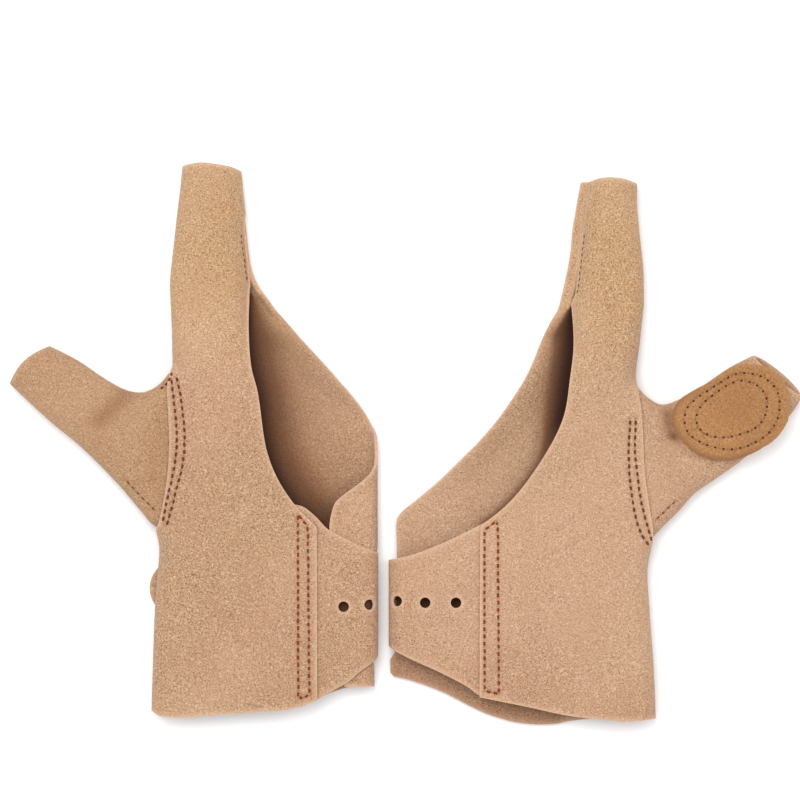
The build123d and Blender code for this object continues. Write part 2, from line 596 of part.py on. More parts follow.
right_strap_root.part.label = "right_strap_root"

with BuildPart() as right_strap_tail:
    with BuildSketch():
        with BuildLine():
            Line((RIGHT_HINGE_X + 0.1, -45.0), (RIGHT_HINGE_X + 0.1, -82.5))
            Line((RIGHT_HINGE_X + 0.1, -82.5), (RIGHT_TIP[0], RIGHT_TIP[1] - TAIL_END_R))
            ThreePointArc((RIGHT_TIP[0], RIGHT_TIP[1] - TAIL_END_R), (RIGHT_TIP[0] + TAIL_END_R, RIGHT_TIP[1]),
                          (RIGHT_TIP[0], RIGHT_TIP[1] + TAIL_END_R))
            Line((RIGHT_TIP[0], RIGHT_TIP[1] + TAIL_END_R), (RIGHT_HINGE_X + 0.1, -45.0))
        make_face()
        with Locations(*[(RIGHT_STUD[0] + HOLE_PITCH * i, RIGHT_STUD[1] + 0.2 * i) for i in (-2, -1, 0, 1)]):
            Circle(HOLE_R, mode=Mode.SUBTRACT)
    extrude(amount=SUEDE)
right_strap_tail.part.label = "right_strap_tail"

with BuildPart() as right_stud:
    with BuildSketch(Plane.XY.offset(STUD_LOW)):
        with Locations(RIGHT_STUD):
            Circle(STUD_HEAD_R)
    extrude(amount=0.7)
    with BuildSketch(Plane.XY.offset(STUD_LOW + 0.7)):
        with Locations(RIGHT_STUD):
            Circle(STUD_NECK_R)
    extrude(amount=BACK_Z - STUD_LOW - 0.7)
    with BuildSketch(Plane.XY.offset(0.5)):
        with Locations(RIGHT_STUD):
            Circle(STUD_SCREW_R + 0.05)
    extrude(amount=3, mode=Mode.SUBTRACT)
right_stud.part.label = "right_stud"

with BuildPart() as right_stud_screw:
    with BuildSketch(Plane.XY.offset(BACK_Z + SUEDE)):
        with Locations(RIGHT_STUD):
            Circle(STUD_SCREW_HEAD_R)
    extrude(amount=0.6)
    with BuildSketch(Plane.XY.offset(0.6)):
        with Locations(RIGHT_STUD):
            Circle(STUD_SCREW_R)
    extrude(amount=BACK_Z + SUEDE - 0.6)
right_stud_screw.part.label = "right_stud_screw"

with BuildPart() as right_strap_thread:
    with BuildSketch(Plane.XY.offset(Z_TOP)):
        with Locations(*stitches(RIGHT_COLUMN, closed=True)):
            SlotOverall(STITCH_LONG, STITCH_WIDE)
    extrude(amount=STITCH_HIGH)
right_strap_thread.part.label = "right_strap_thread"

with BuildPart() as right_thumb_thread:
    with BuildSketch(Plane.XY.offset(Z_TOP)):
        with Locations(*stitches(RIGHT_ROW_1), *stitches(RIGHT_ROW_2)):
            SlotOverall(STITCH_LONG, STITCH_WIDE)
    extrude(amount=STITCH_HIGH)
right_thumb_thread.part.label = "right_thumb_thread"

with BuildPart() as right_index_seam:
    with BuildSketch(Plane.XY.offset(Z_TOP)):
        with Locations(*stitches(RIGHT_INDEX_SEAM)):
            SlotOverall(STITCH_LONG, STITCH_WIDE)
    extrude(amount=STITCH_HIGH)
right_index_seam.part.label = "right_index_seam"

with BuildPart() as right_thumb_seam:
    with BuildSketch(Plane.XY.offset(THUMB_TOP)):
        with Locations(*stitches(RIGHT_THUMB_SEAM)):
            SlotOverall(STITCH_LONG, STITCH_WIDE)
    extrude(amount=STITCH_HIGH)
right_thumb_seam.part.label = "right_thumb_seam"

with BuildPart() as right_thumb_patch:
    # thick oval wear patch on the thumb
    with BuildSketch(Plane.XY.offset(THUMB_TOP)):
        with BuildLine():
            Spline(*PATCH_EDGE, periodic=True)
        make_face()
    extrude(amount=PATCH_HIGH)
    fillet(right_thumb_patch.edges().group_by(Axis.Z)[-1], radius=0.7)
right_thumb_patch.part.label = "right_thumb_patch"

with BuildPart() as right_patch_thread:
    # two rings of stitches, one inside the other
    with BuildSketch(Plane.XY.offset(THUMB_TOP + PATCH_HIGH)):
        with Locations(*stitches(PATCH_OUTER_ROW, closed=True), *stitches(PATCH_INNER_ROW, closed=True)):
            SlotOverall(STITCH_LONG, STITCH_WIDE)
    extrude(amount=STITCH_HIGH)
right_patch_thread.part.label = "right_patch_thread"


os.makedirs("parts", exist_ok=True)
for piece in (
    left_front_panel, left_back_panel, left_back_flap, left_radial_fold, left_index_sleeve, left_thumb_sleeve,
    left_strap_root, left_strap_tail, left_stud, left_stud_screw, left_strap_thread, left_thumb_thread,
    left_index_seam, left_thumb_seam, right_front_panel, right_back_panel, right_radial_fold, right_index_sleeve,
    right_thumb_sleeve, right_strap_root, right_strap_tail, right_stud, right_stud_screw, right_strap_thread,
    right_thumb_thread, right_index_seam, right_thumb_seam, right_thumb_patch, right_patch_thread,
):
    export_step(piece.part, f"parts/{piece.part.label}.step")
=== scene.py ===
import math
import random

import bmesh
import bpy
import numpy as np
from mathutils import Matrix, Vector
from mathutils.bvhtree import BVHTree
from mathutils.geometry import delaunay_2d_cdt
from mathutils.kdtree import KDTree


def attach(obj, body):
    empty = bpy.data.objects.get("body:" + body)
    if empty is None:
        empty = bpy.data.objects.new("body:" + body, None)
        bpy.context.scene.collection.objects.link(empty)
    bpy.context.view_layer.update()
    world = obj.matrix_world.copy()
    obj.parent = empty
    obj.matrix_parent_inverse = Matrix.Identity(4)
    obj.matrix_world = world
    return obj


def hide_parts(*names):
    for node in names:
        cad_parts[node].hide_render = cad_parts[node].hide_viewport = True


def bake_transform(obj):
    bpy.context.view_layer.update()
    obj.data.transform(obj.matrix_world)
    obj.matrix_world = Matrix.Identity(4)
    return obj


# A pair of suede hand grips. Lengths below are in millimetres in the row frame and become metres when a mesh is made.
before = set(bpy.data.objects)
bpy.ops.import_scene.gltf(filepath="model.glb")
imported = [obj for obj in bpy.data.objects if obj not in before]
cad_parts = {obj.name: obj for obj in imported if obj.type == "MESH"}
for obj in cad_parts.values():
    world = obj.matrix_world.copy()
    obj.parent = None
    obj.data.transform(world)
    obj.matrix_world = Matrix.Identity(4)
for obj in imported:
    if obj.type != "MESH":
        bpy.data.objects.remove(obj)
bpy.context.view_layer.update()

MM = 0.001
SUEDE = 1.2

# ---- outlines in plan, each run from one corner of its piece to the next
LEFT_SLEEVE_RADIAL = [
    (-93.84, 62.2), (-93.72, 66.4), (-92.08, 81.4), (-90.92, 92.2), (-89.76, 101.4), (-88.84, 110.96),
]
LEFT_SLEEVE_TIP = [
    (-88.84, 110.96), (-82.4, 112.28), (-76.0, 111.72), (-70.24, 110.52), (-66.36, 108.92),
]
LEFT_SLEEVE_ULNAR = [
    (-66.36, 108.92), (-65.88, 102.6), (-64.72, 92.2), (-64.04, 81.4), (-63.16, 72.6), (-62.16, 62.2),
]
LEFT_OPENING_EDGE = [
    (-62.56, 61.96), (-62.88, 45.96), (-61.84, 30.68), (-59.32, 20.6), (-55.72, -2.6), (-51.04, -14.6),
    (-44.4, -24.6), (-41.08, -28.2), (-37.76, -31.4), (-35.76, -33.4),
]
LEFT_FRONT_HEM = [
    (-35.4, -102.6), (-41.16, -104.6), (-47.56, -106.2), (-70.48, -108.04), (-89.56, -109.4), (-98.52, -108.6),
    (-101.24, -106.8),
]
LEFT_RADIAL_LOW = [
    (-101.24, -106.8), (-100.76, -91.0), (-99.8, -65.64), (-98.64, -51.0), (-98.12, -41.8), (-99.36, -34.6),
]
LEFT_LAP_EDGE = [
    (-99.36, -34.6), (-97.6, -27.6), (-95.2, -14.6), (-94.16, -1.4), (-94.52, 11.0), (-94.84, 24.2),
    (-92.76, 31.0),
]
LEFT_RADIAL_HIGH = [
    (-92.76, 31.0), (-93.08, 45.4), (-93.84, 61.96),
]
LEFT_BACK_EDGE = [
    (-62.16, 61.96), (-58.96, 61.0), (-54.28, 55.8), (-49.56, 47.4), (-34.8, 31.8), (-24.6, 20.6),
    (-17.28, 11.8),
]
LEFT_BACK_HEM = [
    (-17.28, -96.2), (-26.36, -98.6), (-35.56, -102.2), (-41.16, -105.2), (-47.56, -106.2), (-70.48, -108.04),
    (-89.56, -109.4), (-98.52, -108.6), (-101.24, -106.8),
]
LEFT_THUMB_UPPER = [
    (-142.96, 38.6), (-131.36, 32.6), (-119.64, 24.72), (-111.4, 20.6), (-105.2, 19.92), (-99.0, 22.68),
    (-92.96, 29.4),
]
LEFT_THUMB_LAP = [
    (-92.96, 29.4), (-89.96, 21.4), (-88.36, 11.4), (-87.56, -0.6), (-88.76, -15.4), (-92.36, -24.6),
    (-95.96, -33.4),
]
LEFT_THUMB_LOWER = [
    (-100.36, -32.44), (-105.96, -26.2), (-114.84, -15.8), (-130.0, -0.6), (-141.68, 9.0), (-158.24, 24.4),
]
LEFT_COLUMN = [
    (-43.16, -28.2), (-39.16, -33.0), (-38.56, -100.6), (-42.96, -102.2),
]
LEFT_ROW_1 = [
    (-93.64, 26.0), (-92.68, 17.8), (-91.56, 7.0), (-91.56, -2.8), (-93.16, -13.0), (-95.32, -22.2),
    (-96.96, -31.4),
]
LEFT_ROW_2 = [
    (-91.56, 27.0), (-89.96, 19.4), (-88.76, 9.6), (-88.28, 0.6), (-89.32, -9.8), (-91.72, -18.6),
    (-93.56, -26.2), (-95.56, -33.0),
]
LEFT_INDEX_SEAM = [
    (-67.88, 77.0), (-67.36, 72.6), (-66.68, 67.8), (-66.12, 63.8),
]
LEFT_THUMB_SEAM = [
    (-111.96, -14.6), (-105.56, -21.4), (-99.96, -27.0),
]
RIGHT_SLEEVE_RADIAL = [
    (94.68, 56.2), (94.44, 69.2), (93.04, 83.0), (91.96, 95.8), (92.0, 103.92),
]
RIGHT_SLEEVE_TIP = [
    (92.0, 103.92), (87.16, 105.72), (82.04, 106.36), (77.96, 105.96), (74.4, 104.84), (70.44, 104.44),
]
RIGHT_SLEEVE_ULNAR = [
    (70.44, 104.44), (68.84, 98.2), (66.84, 79.8), (64.84, 66.6), (62.04, 56.2),
]
RIGHT_OPENING_EDGE = [
    (66.44, 55.96), (67.08, 45.4), (67.0, 37.0), (65.72, 26.2), (63.56, 12.4), (59.24, 1.8), (47.04, -17.0),
    (38.6, -26.2), (29.8, -33.0),
]
RIGHT_FRONT_HEM = [
    (29.4, -101.24), (37.84, -103.0), (50.84, -105.68), (63.12, -108.36), (73.8, -109.8), (89.12, -111.0),
    (99.44, -110.0),
]
RIGHT_RADIAL_LOW = [
    (99.44, -110.0), (98.68, -91.0), (96.76, -64.2), (96.12, -50.6), (97.84, -40.6),
]
RIGHT_LAP_EDGE = [
    (97.84, -40.6), (98.6, -35.6), (97.44, -27.8), (95.2, -12.0), (93.64, 13.4), (91.72, 23.8),
]
RIGHT_RADIAL_HIGH = [
    (91.72, 23.8), (91.48, 28.6), (92.76, 38.2), (94.68, 55.96),
]
RIGHT_BACK_EDGE = [
    (62.04, 55.96), (57.64, 47.4), (56.04, 40.2), (49.64, 26.2), (41.08, 13.4), (32.44, 3.8), (26.04, -2.6),
    (14.84, -14.6), (-2.16, -28.6),
]
RIGHT_BACK_HEM = [
    (-5.76, -91.0), (-3.56, -93.4), (8.84, -96.2), (20.24, -101.0), (31.64, -106.44), (43.24, -110.2),
    (54.68, -112.32), (63.12, -111.8), (73.8, -110.4), (89.12, -111.0), (99.44, -110.0),
]
RIGHT_THUMB_UPPER = [
    (91.88, 22.6), (96.84, 17.6), (102.16, 15.0), (108.44, 16.6), (119.64, 23.0), (129.64, 29.8),
    (139.24, 34.68),
]
RIGHT_THUMB_LOWER = [
    (158.04, 19.0), (153.24, 11.6), (134.04, -6.2), (123.92, -13.4), (114.36, -20.2), (109.88, -25.4),
    (102.84, -32.4), (98.84, -36.6),
]
RIGHT_THUMB_LAP = [
    (95.64, -39.0), (93.24, -33.0), (90.44, -23.4), (88.44, -12.0), (86.84, -0.6), (87.44, 11.4), (91.88, 22.6),
]
RIGHT_COLUMN = [
    (31.36, -34.6), (36.64, -30.6), (37.08, -100.2), (31.36, -98.6),
]
RIGHT_ROW_1 = [
    (89.6, 9.8), (88.84, -2.6), (89.48, -15.2), (91.36, -27.8), (93.64, -35.4), (97.16, -41.0),
]
RIGHT_ROW_2 = [
    (91.72, 9.8), (91.4, -2.6), (92.32, -12.0), (93.92, -23.4), (96.44, -33.0), (98.44, -39.4),
]
RIGHT_INDEX_SEAM = [
    (70.64, 75.6), (70.04, 67.16), (69.24, 61.8), (68.44, 57.8),
]
RIGHT_THUMB_SEAM = [
    (108.04, -22.6), (99.64, -30.6),
]
PATCH_EDGE = [
    (106.48, 10.16), (107.08, 7.24), (109.12, 3.12), (112.64, -1.0), (116.76, -3.92), (122.04, -5.76),
    (126.72, -6.36), (131.44, -5.96), (136.16, -4.52), (141.4, -1.88), (146.72, 1.64), (150.76, 6.64),
    (152.56, 11.36), (152.84, 16.04), (151.96, 20.72), (149.64, 25.44), (146.12, 28.96), (142.0, 30.72),
    (137.28, 31.44), (132.6, 31.12), (128.8, 29.44), (125.56, 27.48), (120.84, 24.24), (115.0, 21.0),
    (109.72, 17.48), (107.4, 14.28),
]
PATCH_OUTER_ROW = [
    (110.92, 9.88), (111.36, 6.96), (112.56, 4.12), (115.04, 1.96), (118.12, 0.2), (121.08, -1.0),
    (124.72, -1.76), (127.76, -2.24), (131.88, -2.0), (135.4, -1.28), (138.6, 0.2), (141.6, 1.64),
    (144.36, 3.92), (146.56, 6.36), (148.24, 9.88), (148.96, 12.8), (149.08, 16.2), (148.6, 19.72),
    (147.0, 22.8), (144.36, 25.16), (141.44, 27.0), (138.32, 27.8), (134.56, 28.16), (131.64, 27.8),
    (129.12, 26.68), (125.4, 24.32), (121.68, 21.96), (116.76, 18.8), (113.24, 15.76), (111.52, 13.0),
]
PATCH_INNER_ROW = [
    (115.6, 9.88), (116.12, 6.96), (118.12, 4.64), (120.72, 3.28), (124.28, 2.56), (127.92, 2.56),
    (131.56, 3.16), (135.2, 4.32), (138.72, 5.88), (141.36, 7.84), (143.08, 10.76), (143.96, 14.28),
    (143.96, 17.52), (143.12, 20.44), (140.64, 22.8), (137.44, 24.56), (134.4, 25.32), (131.48, 24.84),
    (127.64, 22.96), (123.24, 20.04), (119.08, 16.64), (116.44, 13.12),
]


# ---------------------------------------------------------------- curves and fields
def curve(points, step=0.5, closed=False):
    """A smooth line through the points (centripetal Catmull-Rom), sampled about every step."""
    p = np.array(points, float)
    if closed:
        p = np.vstack([p[-1], p, p[0], p[1]])
    else:
        p = np.vstack([2 * p[0] - p[1], p, 2 * p[-1] - p[-2]])
    out = []
    for i in range(1, len(p) - 2):
        a, b, c, d = p[i - 1 : i + 3]
        k0 = 0.0
        k1 = k0 + max(1e-6, np.linalg.norm(b - a)) ** 0.5
        k2 = k1 + max(1e-6, np.linalg.norm(c - b)) ** 0.5
        k3 = k2 + max(1e-6, np.linalg.norm(d - c)) ** 0.5
        n = max(2, int(np.linalg.norm(c - b) / step))
        t = np.linspace(k1, k2, n, endpoint=False)[:, None]
        a1 = (k1 - t) / (k1 - k0) * a + (t - k0) / (k1 - k0) * b
        a2 = (k2 - t) / (k2 - k1) * b + (t - k1) / (k2 - k1) * c
        a3 = (k3 - t) / (k3 - k2) * c + (t - k2) / (k3 - k2) * d
        b1 = (k2 - t) / (k2 - k0) * a1 + (t - k0) / (k2 - k0) * a2
        b2 = (k3 - t) / (k3 - k1) * a2 + (t - k1) / (k3 - k1) * a3
        out.append((k2 - t) / (k2 - k1) * b1 + (t - k1) / (k2 - k1) * b2)
    out = np.vstack(out)
    return out if closed else np.vstack([out, p[-2]])


def line(points, step=0.5):
    """Straight runs between the points, sampled about every step."""
    out = []
    for a, b in zip(points, points[1:]):
        n = max(1, int(math.dist(a, b) / step))
        for i in range(n):
            out.append((a[0] + (b[0] - a[0]) * i / n, a[1] + (b[1] - a[1]) * i / n))
    out.append(tuple(points[-1]))
    return np.array(out, float)


def lengths(c):
    return np.r_[0, np.cumsum(np.linalg.norm(np.diff(c, axis=0), axis=1))]


def at_lengths(c, q):
    run = lengths(c)
    return np.stack([np.interp(q, run, c[:, k]) for k in range(c.shape[1])], -1)


def resample(c, n):
    return at_lengths(c, np.linspace(0, lengths(c)[-1], n))


def side(*runs):
    """Joined runs as a table (ys, xs), sorted by y."""
    p = np.vstack(runs)
    p = p[np.argsort(p[:, 1], kind="stable")]
    return p[:, 1], p[:, 0]


def step01(v, a, b):
    t = np.clip((v - a) / (b - a), 0, 1)
    return t * t * (3 - 2 * t)


def away(p, path):
    """Distance of each point from a path."""
    p, a, b = np.asarray(p, float), path[:-1], path[1:]
    best = np.full(len(p), 1e9)
    for u, v in zip(a, b):
        d = v - u
        t = np.clip(((p - u) @ d) / max(1e-12, d @ d), 0, 1)
        best = np.minimum(best, np.hypot(*(p - u - t[:, None] * d).T))
    return best


def round_in(q):
    q = np.clip(q, 0, 1)
    return np.sqrt(np.clip(1 - (1 - q) ** 2, 0, 1))


def wander(x, y):
    """Slow unevenness shared by every layer that lies on another."""
    return (
        0.30 * np.sin(0.055 * x + 0.031 * y + 1.0)
        + 0.22 * np.sin(-0.041 * x + 0.083 * y + 2.1)
        + 0.14 * np.sin(0.13 * x + 0.052 * y + 0.4)
        + 0.10 * np.sin(0.095 * x - 0.16 * y + 3.3)
        + 0.05 * np.sin(0.31 * x + 0.22 * y)
        + 0.04 * np.sin(-0.27 * x + 0.36 * y + 1.7)
    )


def inside(p, loop):
    """Even-odd test of points against a closed loop."""
    x, y = p[:, 0], p[:, 1]
    hit = np.zeros(len(p), bool)
    a, b = loop, np.roll(loop, -1, axis=0)
    for (x1, y1), (x2, y2) in zip(a, b):
        if y1 == y2:
            continue
        cross = (y1 > y) != (y2 > y)
        hit ^= cross & (x < (x2 - x1) * (y - y1) / (y2 - y1) + x1)
    return hit


# ---------------------------------------------------------------- stitches' places in plan
def places(path, pitch, closed=False):
    """Needle points along a path."""
    p = np.vstack([path, path[:1]]) if closed else path
    run = lengths(p)
    n = max(2, int(round(run[-1] / pitch)))
    q = np.linspace(0, run[-1], n + 1)
    pts = at_lengths(p, q)
    return pts[:-1] if closed else pts


SEAMS = {
    "left_strap": (line(LEFT_COLUMN + LEFT_COLUMN[:1]), 2.95),
    "left_thumb_1": (curve(LEFT_ROW_1), 2.9),
    "left_thumb_2": (curve(LEFT_ROW_2), 2.9),
    "left_index": (curve([(-66.0, 84.0), (-65.2, 77.0), (-64.4, 71.0), (-63.7, 65.0)]), 2.4),
    "left_web": (curve([(-98.4, 21.6), (-95.9, 23.3), (-94.3, 25.8), (-93.2, 28.8)]), 2.3),
    "left_thumb": (curve(LEFT_THUMB_SEAM), 2.9),
    "right_strap": (line(RIGHT_COLUMN + RIGHT_COLUMN[:1]), 2.95),
    "right_thumb_1": (curve(RIGHT_ROW_1), 2.9),
    "right_thumb_2": (curve(RIGHT_ROW_2), 2.9),
    "right_index": (curve([(71.4, 84.0), (70.5, 76.0), (69.8, 69.4), (69.2, 63.6), (68.4, 59.6)]), 2.4),
    "right_thumb": (curve(RIGHT_THUMB_SEAM), 2.9),
    "patch_outer": (curve(PATCH_OUTER_ROW, closed=True), 3.4),
    "patch_inner": (curve(PATCH_INNER_ROW, closed=True), 3.4),
}


def pulled(x, y, names, groove=0.36, wide=0.95, dimple=0.4, small=0.42):
    """How far the leather is drawn down along the stitch lines, with a dimple at each needle point."""
    p = np.stack([x.ravel(), y.ravel()], -1)
    down = np.zeros(len(p))
    for name in names:
        path, pitch = SEAMS[name]
        closed = name.startswith("patch")
        loop = np.vstack([path, path[:1]]) if closed else path
        box_low, box_high = loop.min(0) - 4, loop.max(0) + 4
        near = np.all((p > box_low) & (p < box_high), axis=1)
        if not near.any():
            continue
        q = p[near]
        d = away(q, loop[::2] if len(loop) > 60 else loop)
        take = groove * np.exp(-((d / wide) ** 2))
        tree = KDTree(len(places(path, pitch, closed)))
        for i, (a, b) in enumerate(places(path, pitch, closed)):
            tree.insert((a, b, 0), i)
        tree.balance()
        hole = np.array([tree.find((a, b, 0))[2] for a, b in q])
        down[near] += take + dimple * np.exp(-((hole / small) ** 2))
    return down.reshape(x.shape)


def needle_marks(p, names, small):
    """1 at each needle point, falling off within small."""
    spots = []
    for name in names:
        path, pitch = SEAMS[name]
        spots += [tuple(q) for q in places(path, pitch, name.startswith("patch"))]
    tree = KDTree(len(spots))
    for i, (a, b) in enumerate(spots):
        tree.insert((a, b, 0), i)
    tree.balance()
    near = near_seams(p[:, :2], names, 2.0)
    out = np.zeros(len(p))
    out[near] = [math.exp(-((tree.find((a, b, 0))[2] / small) ** 2)) for a, b in p[near][:, :2]]
    return out


# ---------------------------------------------------------------- meshes
def new_mesh(name, verts, faces, materials):
    mesh = bpy.data.meshes.new(name)
    mesh.from_pydata((np.asarray(verts, float) * MM).tolist(), [], faces)
    mesh.update()
    obj = bpy.data.objects.new(name, mesh)
    bpy.context.scene.collection.objects.link(obj)
    for m in materials:
        mesh.materials.append(m)
    return obj


def grid(rows, cols, offset=0, flip=False):
    faces = []
    for i in range(rows - 1):
        for j in range(cols - 1):
            a = offset + i * cols + j
            f = (a, a + 1, a + cols + 1, a + cols)
            faces.append(f[::-1] if flip else f)
    return faces


def near_seams(points, names, wide):
    keep = np.zeros(len(points), bool)
    for name in names:
        path = SEAMS[name][0]
        loop = np.vstack([path, path[:1]]) if name.startswith("patch") else path
        low, high = loop.min(0) - wide, loop.max(0) + wide
        close = np.all((points > low) & (points < high), axis=1) & ~keep
        if close.any():
            keep[np.where(close)[0]] = away(points[close], loop[::2]) < wide
    return keep


def refine(obj, names, wide, cuts, top_only):
    """Cuts the faces beside the stitch lines smaller, so that needle points can be shaped."""
    bm = bmesh.new()
    bm.from_mesh(obj.data)
    bm.faces.ensure_lookup_table()
    mid = np.array([f.calc_center_median()[:] for f in bm.faces]) / MM
    up = np.array([f.normal.z for f in bm.faces])
    keep = near_seams(mid[:, :2], names, wide)
    if top_only is not None:
        keep &= mid[:, 2] > top_only
    faces = [bm.faces[i] for i in np.where(keep & (abs(up) > 0.3))[0]]
    edges = list({e for f in faces for e in f.edges})
    if edges:
        bmesh.ops.subdivide_edges(bm, edges=edges, cuts=cuts, use_grid_fill=True)
        bmesh.ops.triangulate(bm, faces=[f for f in bm.faces if len(f.verts) > 4])
    bm.to_mesh(obj.data)
    bm.free()


def positions(obj):
    co = np.zeros(len(obj.data.vertices) * 3, np.float32)
    obj.data.vertices.foreach_get("co", co)
    return co.reshape(-1, 3).astype(float) / MM


def set_positions(obj, mm):
    obj.data.vertices.foreach_set("co", (np.asarray(mm) * MM).astype(np.float32).ravel())
    obj.data.update()


def bake(obj):
    """Puts the modifiers into the mesh."""
    bpy.context.view_layer.update()
    graph = bpy.context.evaluated_depsgraph_get()
    bm = bmesh.new()
    bm.from_object(obj, graph)
    obj.modifiers.clear()
    bm.to_mesh(obj.data)
    bm.free()
    obj.data.update()


def thicken(obj, thick, rim=1, bevel=0.22, offset=0.0):
    """Gives a sheet its thickness, softens its cut edges and marks how near each point is to a cut."""
    solid = obj.modifiers.new("thick", "SOLIDIFY")
    solid.thickness = thick * MM
    solid.offset = offset
    solid.use_rim = True
    solid.use_quality_normals = True
    solid.material_offset_rim = rim
    bake(obj)
    bm = bmesh.new()
    bm.from_mesh(obj.data)
    if bevel:
        sharp = [
            e
            for e in bm.edges
            if len(e.link_faces) == 2
            and e.link_faces[0].material_index != e.link_faces[1].material_index
        ]
        bmesh.ops.bevel(
            bm, geom=sharp, offset=bevel * MM, segments=2, profile=0.5,
            affect="EDGES", clamp_overlap=True,
        )
    for f in bm.faces:
        f.smooth = True
    bm.to_mesh(obj.data)
    bm.free()
    finish_mesh(obj)


def finish_mesh(obj, wear=True, reach=1.3):
    """Keeps each point's own place for the grain and its nearness to a cut edge for wear."""
    mesh = obj.data
    p = positions(obj)
    rest = mesh.attributes.new("rest", "FLOAT_VECTOR", "POINT")
    rest.data.foreach_set("vector", (p * MM).astype(np.float32).ravel())
    worn = np.zeros(len(p))
    if wear:
        rims = {v for f in mesh.polygons if f.material_index == 1 for v in f.vertices}
        if rims:
            tree = KDTree(len(rims))
            for i in rims:
                tree.insert(p[i], i)
            tree.balance()
            d = np.array([tree.find(q)[2] for q in p])
            worn = np.exp(-d / reach)
    layer = mesh.attributes.new("wear", "FLOAT", "POINT")
    layer.data.foreach_set("value", worn.astype(np.float32))


def flat_area(loop):
    x, y = loop[:, 0], loop[:, 1]
    return abs(np.dot(x, np.roll(y, -1)) - np.dot(y, np.roll(x, -1))) / 2


# ---------------------------------------------------------------- materials
def srgb(r, g, b):
    f = lambda c: c / 12.92 if c <= 0.04045 else ((c + 0.055) / 1.055) ** 2.4
    return tuple(f(v / 255) for v in (r, g, b)) + (1.0,)


class Nodes:
    def __init__(self, name):
        self.m = bpy.data.materials.new(name)
        self.m.use_nodes = True
        self.t = self.m.node_tree
        self.b = self.t.nodes["Principled BSDF"]

    def node(self, kind, **props):
        n = self.t.nodes.new(kind)
        for k, v in props.items():
            setattr(n, k, v)
        return n

    def join(self, a, b):
        self.t.links.new(a, b)

    def place(self):
        return self.node("ShaderNodeAttribute", attribute_name="rest").outputs["Vector"]

    def noise(self, where, scale, detail=2.0, rough=0.55, twist=0.0):
        n = self.node("ShaderNodeTexNoise")
        n.inputs["Scale"].default_value = scale
        n.inputs["Detail"].default_value = detail
        n.inputs["Roughness"].default_value = rough
        n.inputs["Distortion"].default_value = twist
        self.join(where, n.inputs["Vector"])
        return n.outputs["Fac"]

    def span(self, value, a, b, c=0.0, d=1.0):
        n = self.node("ShaderNodeMapRange")
        for k, v in zip(("From Min", "From Max", "To Min", "To Max"), (a, b, c, d)):
            n.inputs[k].default_value = v
        self.join(value, n.inputs["Value"])
        return n.outputs["Result"]

    def mix(self, fac, a, b, kind="MIX"):
        n = self.node("ShaderNodeMix", data_type="RGBA", blend_type=kind)
        for socket, v in ((n.inputs["Factor"], fac), (n.inputs[6], a), (n.inputs[7], b)):
            if isinstance(v, (tuple, float)):
                socket.default_value = v
            else:
                self.join(v, socket)
        return n.outputs[2]

    def bump(self, height, strength, distance, under=None):
        n = self.node("ShaderNodeBump")
        n.inputs["Strength"].default_value = strength
        n.inputs["Distance"].default_value = distance
        self.join(height, n.inputs["Height"])
        if under is not None:
            self.join(under, n.inputs["Normal"])
        return n.outputs["Normal"]


def suede(name, tone, dark, light, blotch, edge, edge_share=0.55, grain=1850.0, sheen=0.18, pink=None, gold=None):
    """Brushed leather: speckled nap, broad blotches, paler worn edges, and shade painted in from the deep attribute."""
    k = Nodes(name)
    where = k.place()
    fine = k.noise(where, grain, 3.0, 0.62)
    other = k.noise(where, grain * 0.7, 2.0, 0.6, 0.4)
    broad = k.noise(where, 62.0, 3.0, 0.55, 0.6)
    slow = k.noise(where, 17.0, 2.0, 0.5)
    tint = k.noise(where, 11.0, 2.0, 0.5, 0.3)
    c = k.mix(k.span(tint, 0.40, 0.60, 0.0, 0.5), tone, pink) if pink else tone
    if gold:
        warm = k.node("ShaderNodeAttribute", attribute_name="warm").outputs["Fac"]
        c = k.mix(k.span(warm, 0.0, 1.0, 0.0, 1.0), c, gold)
    c = k.mix(k.span(fine, 0.47, 0.66, 0.0, 0.92), c, dark)
    c = k.mix(k.span(other, 0.50, 0.70, 0.0, 0.66), c, light)
    c = k.mix(k.span(broad, 0.42, 0.68, 0.0, 0.24), c, blotch)
    c = k.mix(k.span(slow, 0.40, 0.62, 0.0, 0.16), c, light)
    worn = k.node("ShaderNodeAttribute", attribute_name="wear").outputs["Fac"]
    c = k.mix(k.span(worn, 0.15, 1.0, 0.0, edge_share), c, edge)
    # painted shade: the deep attribute darkens the colour to brown, then near black, where shade falls in hollows,
    # holes, creases and beside edges; on some parts it is also an evenly darker tone
    deep = k.node("ShaderNodeAttribute", attribute_name="deep").outputs["Fac"]
    c = k.mix(k.span(deep, 0.0, 0.6, 0.0, 0.80), c, srgb(118, 74, 44))
    c = k.mix(k.span(deep, 0.35, 1.0, 0.0, 0.95), c, srgb(40, 13, 8))
    k.join(c, k.b.inputs["Base Color"])
    k.join(k.span(fine, 0.3, 0.7, 0.84, 0.98), k.b.inputs["Roughness"])
    k.b.inputs["Specular IOR Level"].default_value = 0.16
    k.b.inputs["Sheen Weight"].default_value = sheen
    k.b.inputs["Sheen Roughness"].default_value = 0.55
    k.b.inputs["Sheen Tint"].default_value = (1.0, 0.88, 0.78, 1.0)
    n = k.bump(fine, 0.55, 0.00022)
    n = k.bump(other, 0.40, 0.00030, n)
    n = k.bump(broad, 0.25, 0.0009, n)
    k.join(n, k.b.inputs["Normal"])
    return k.m


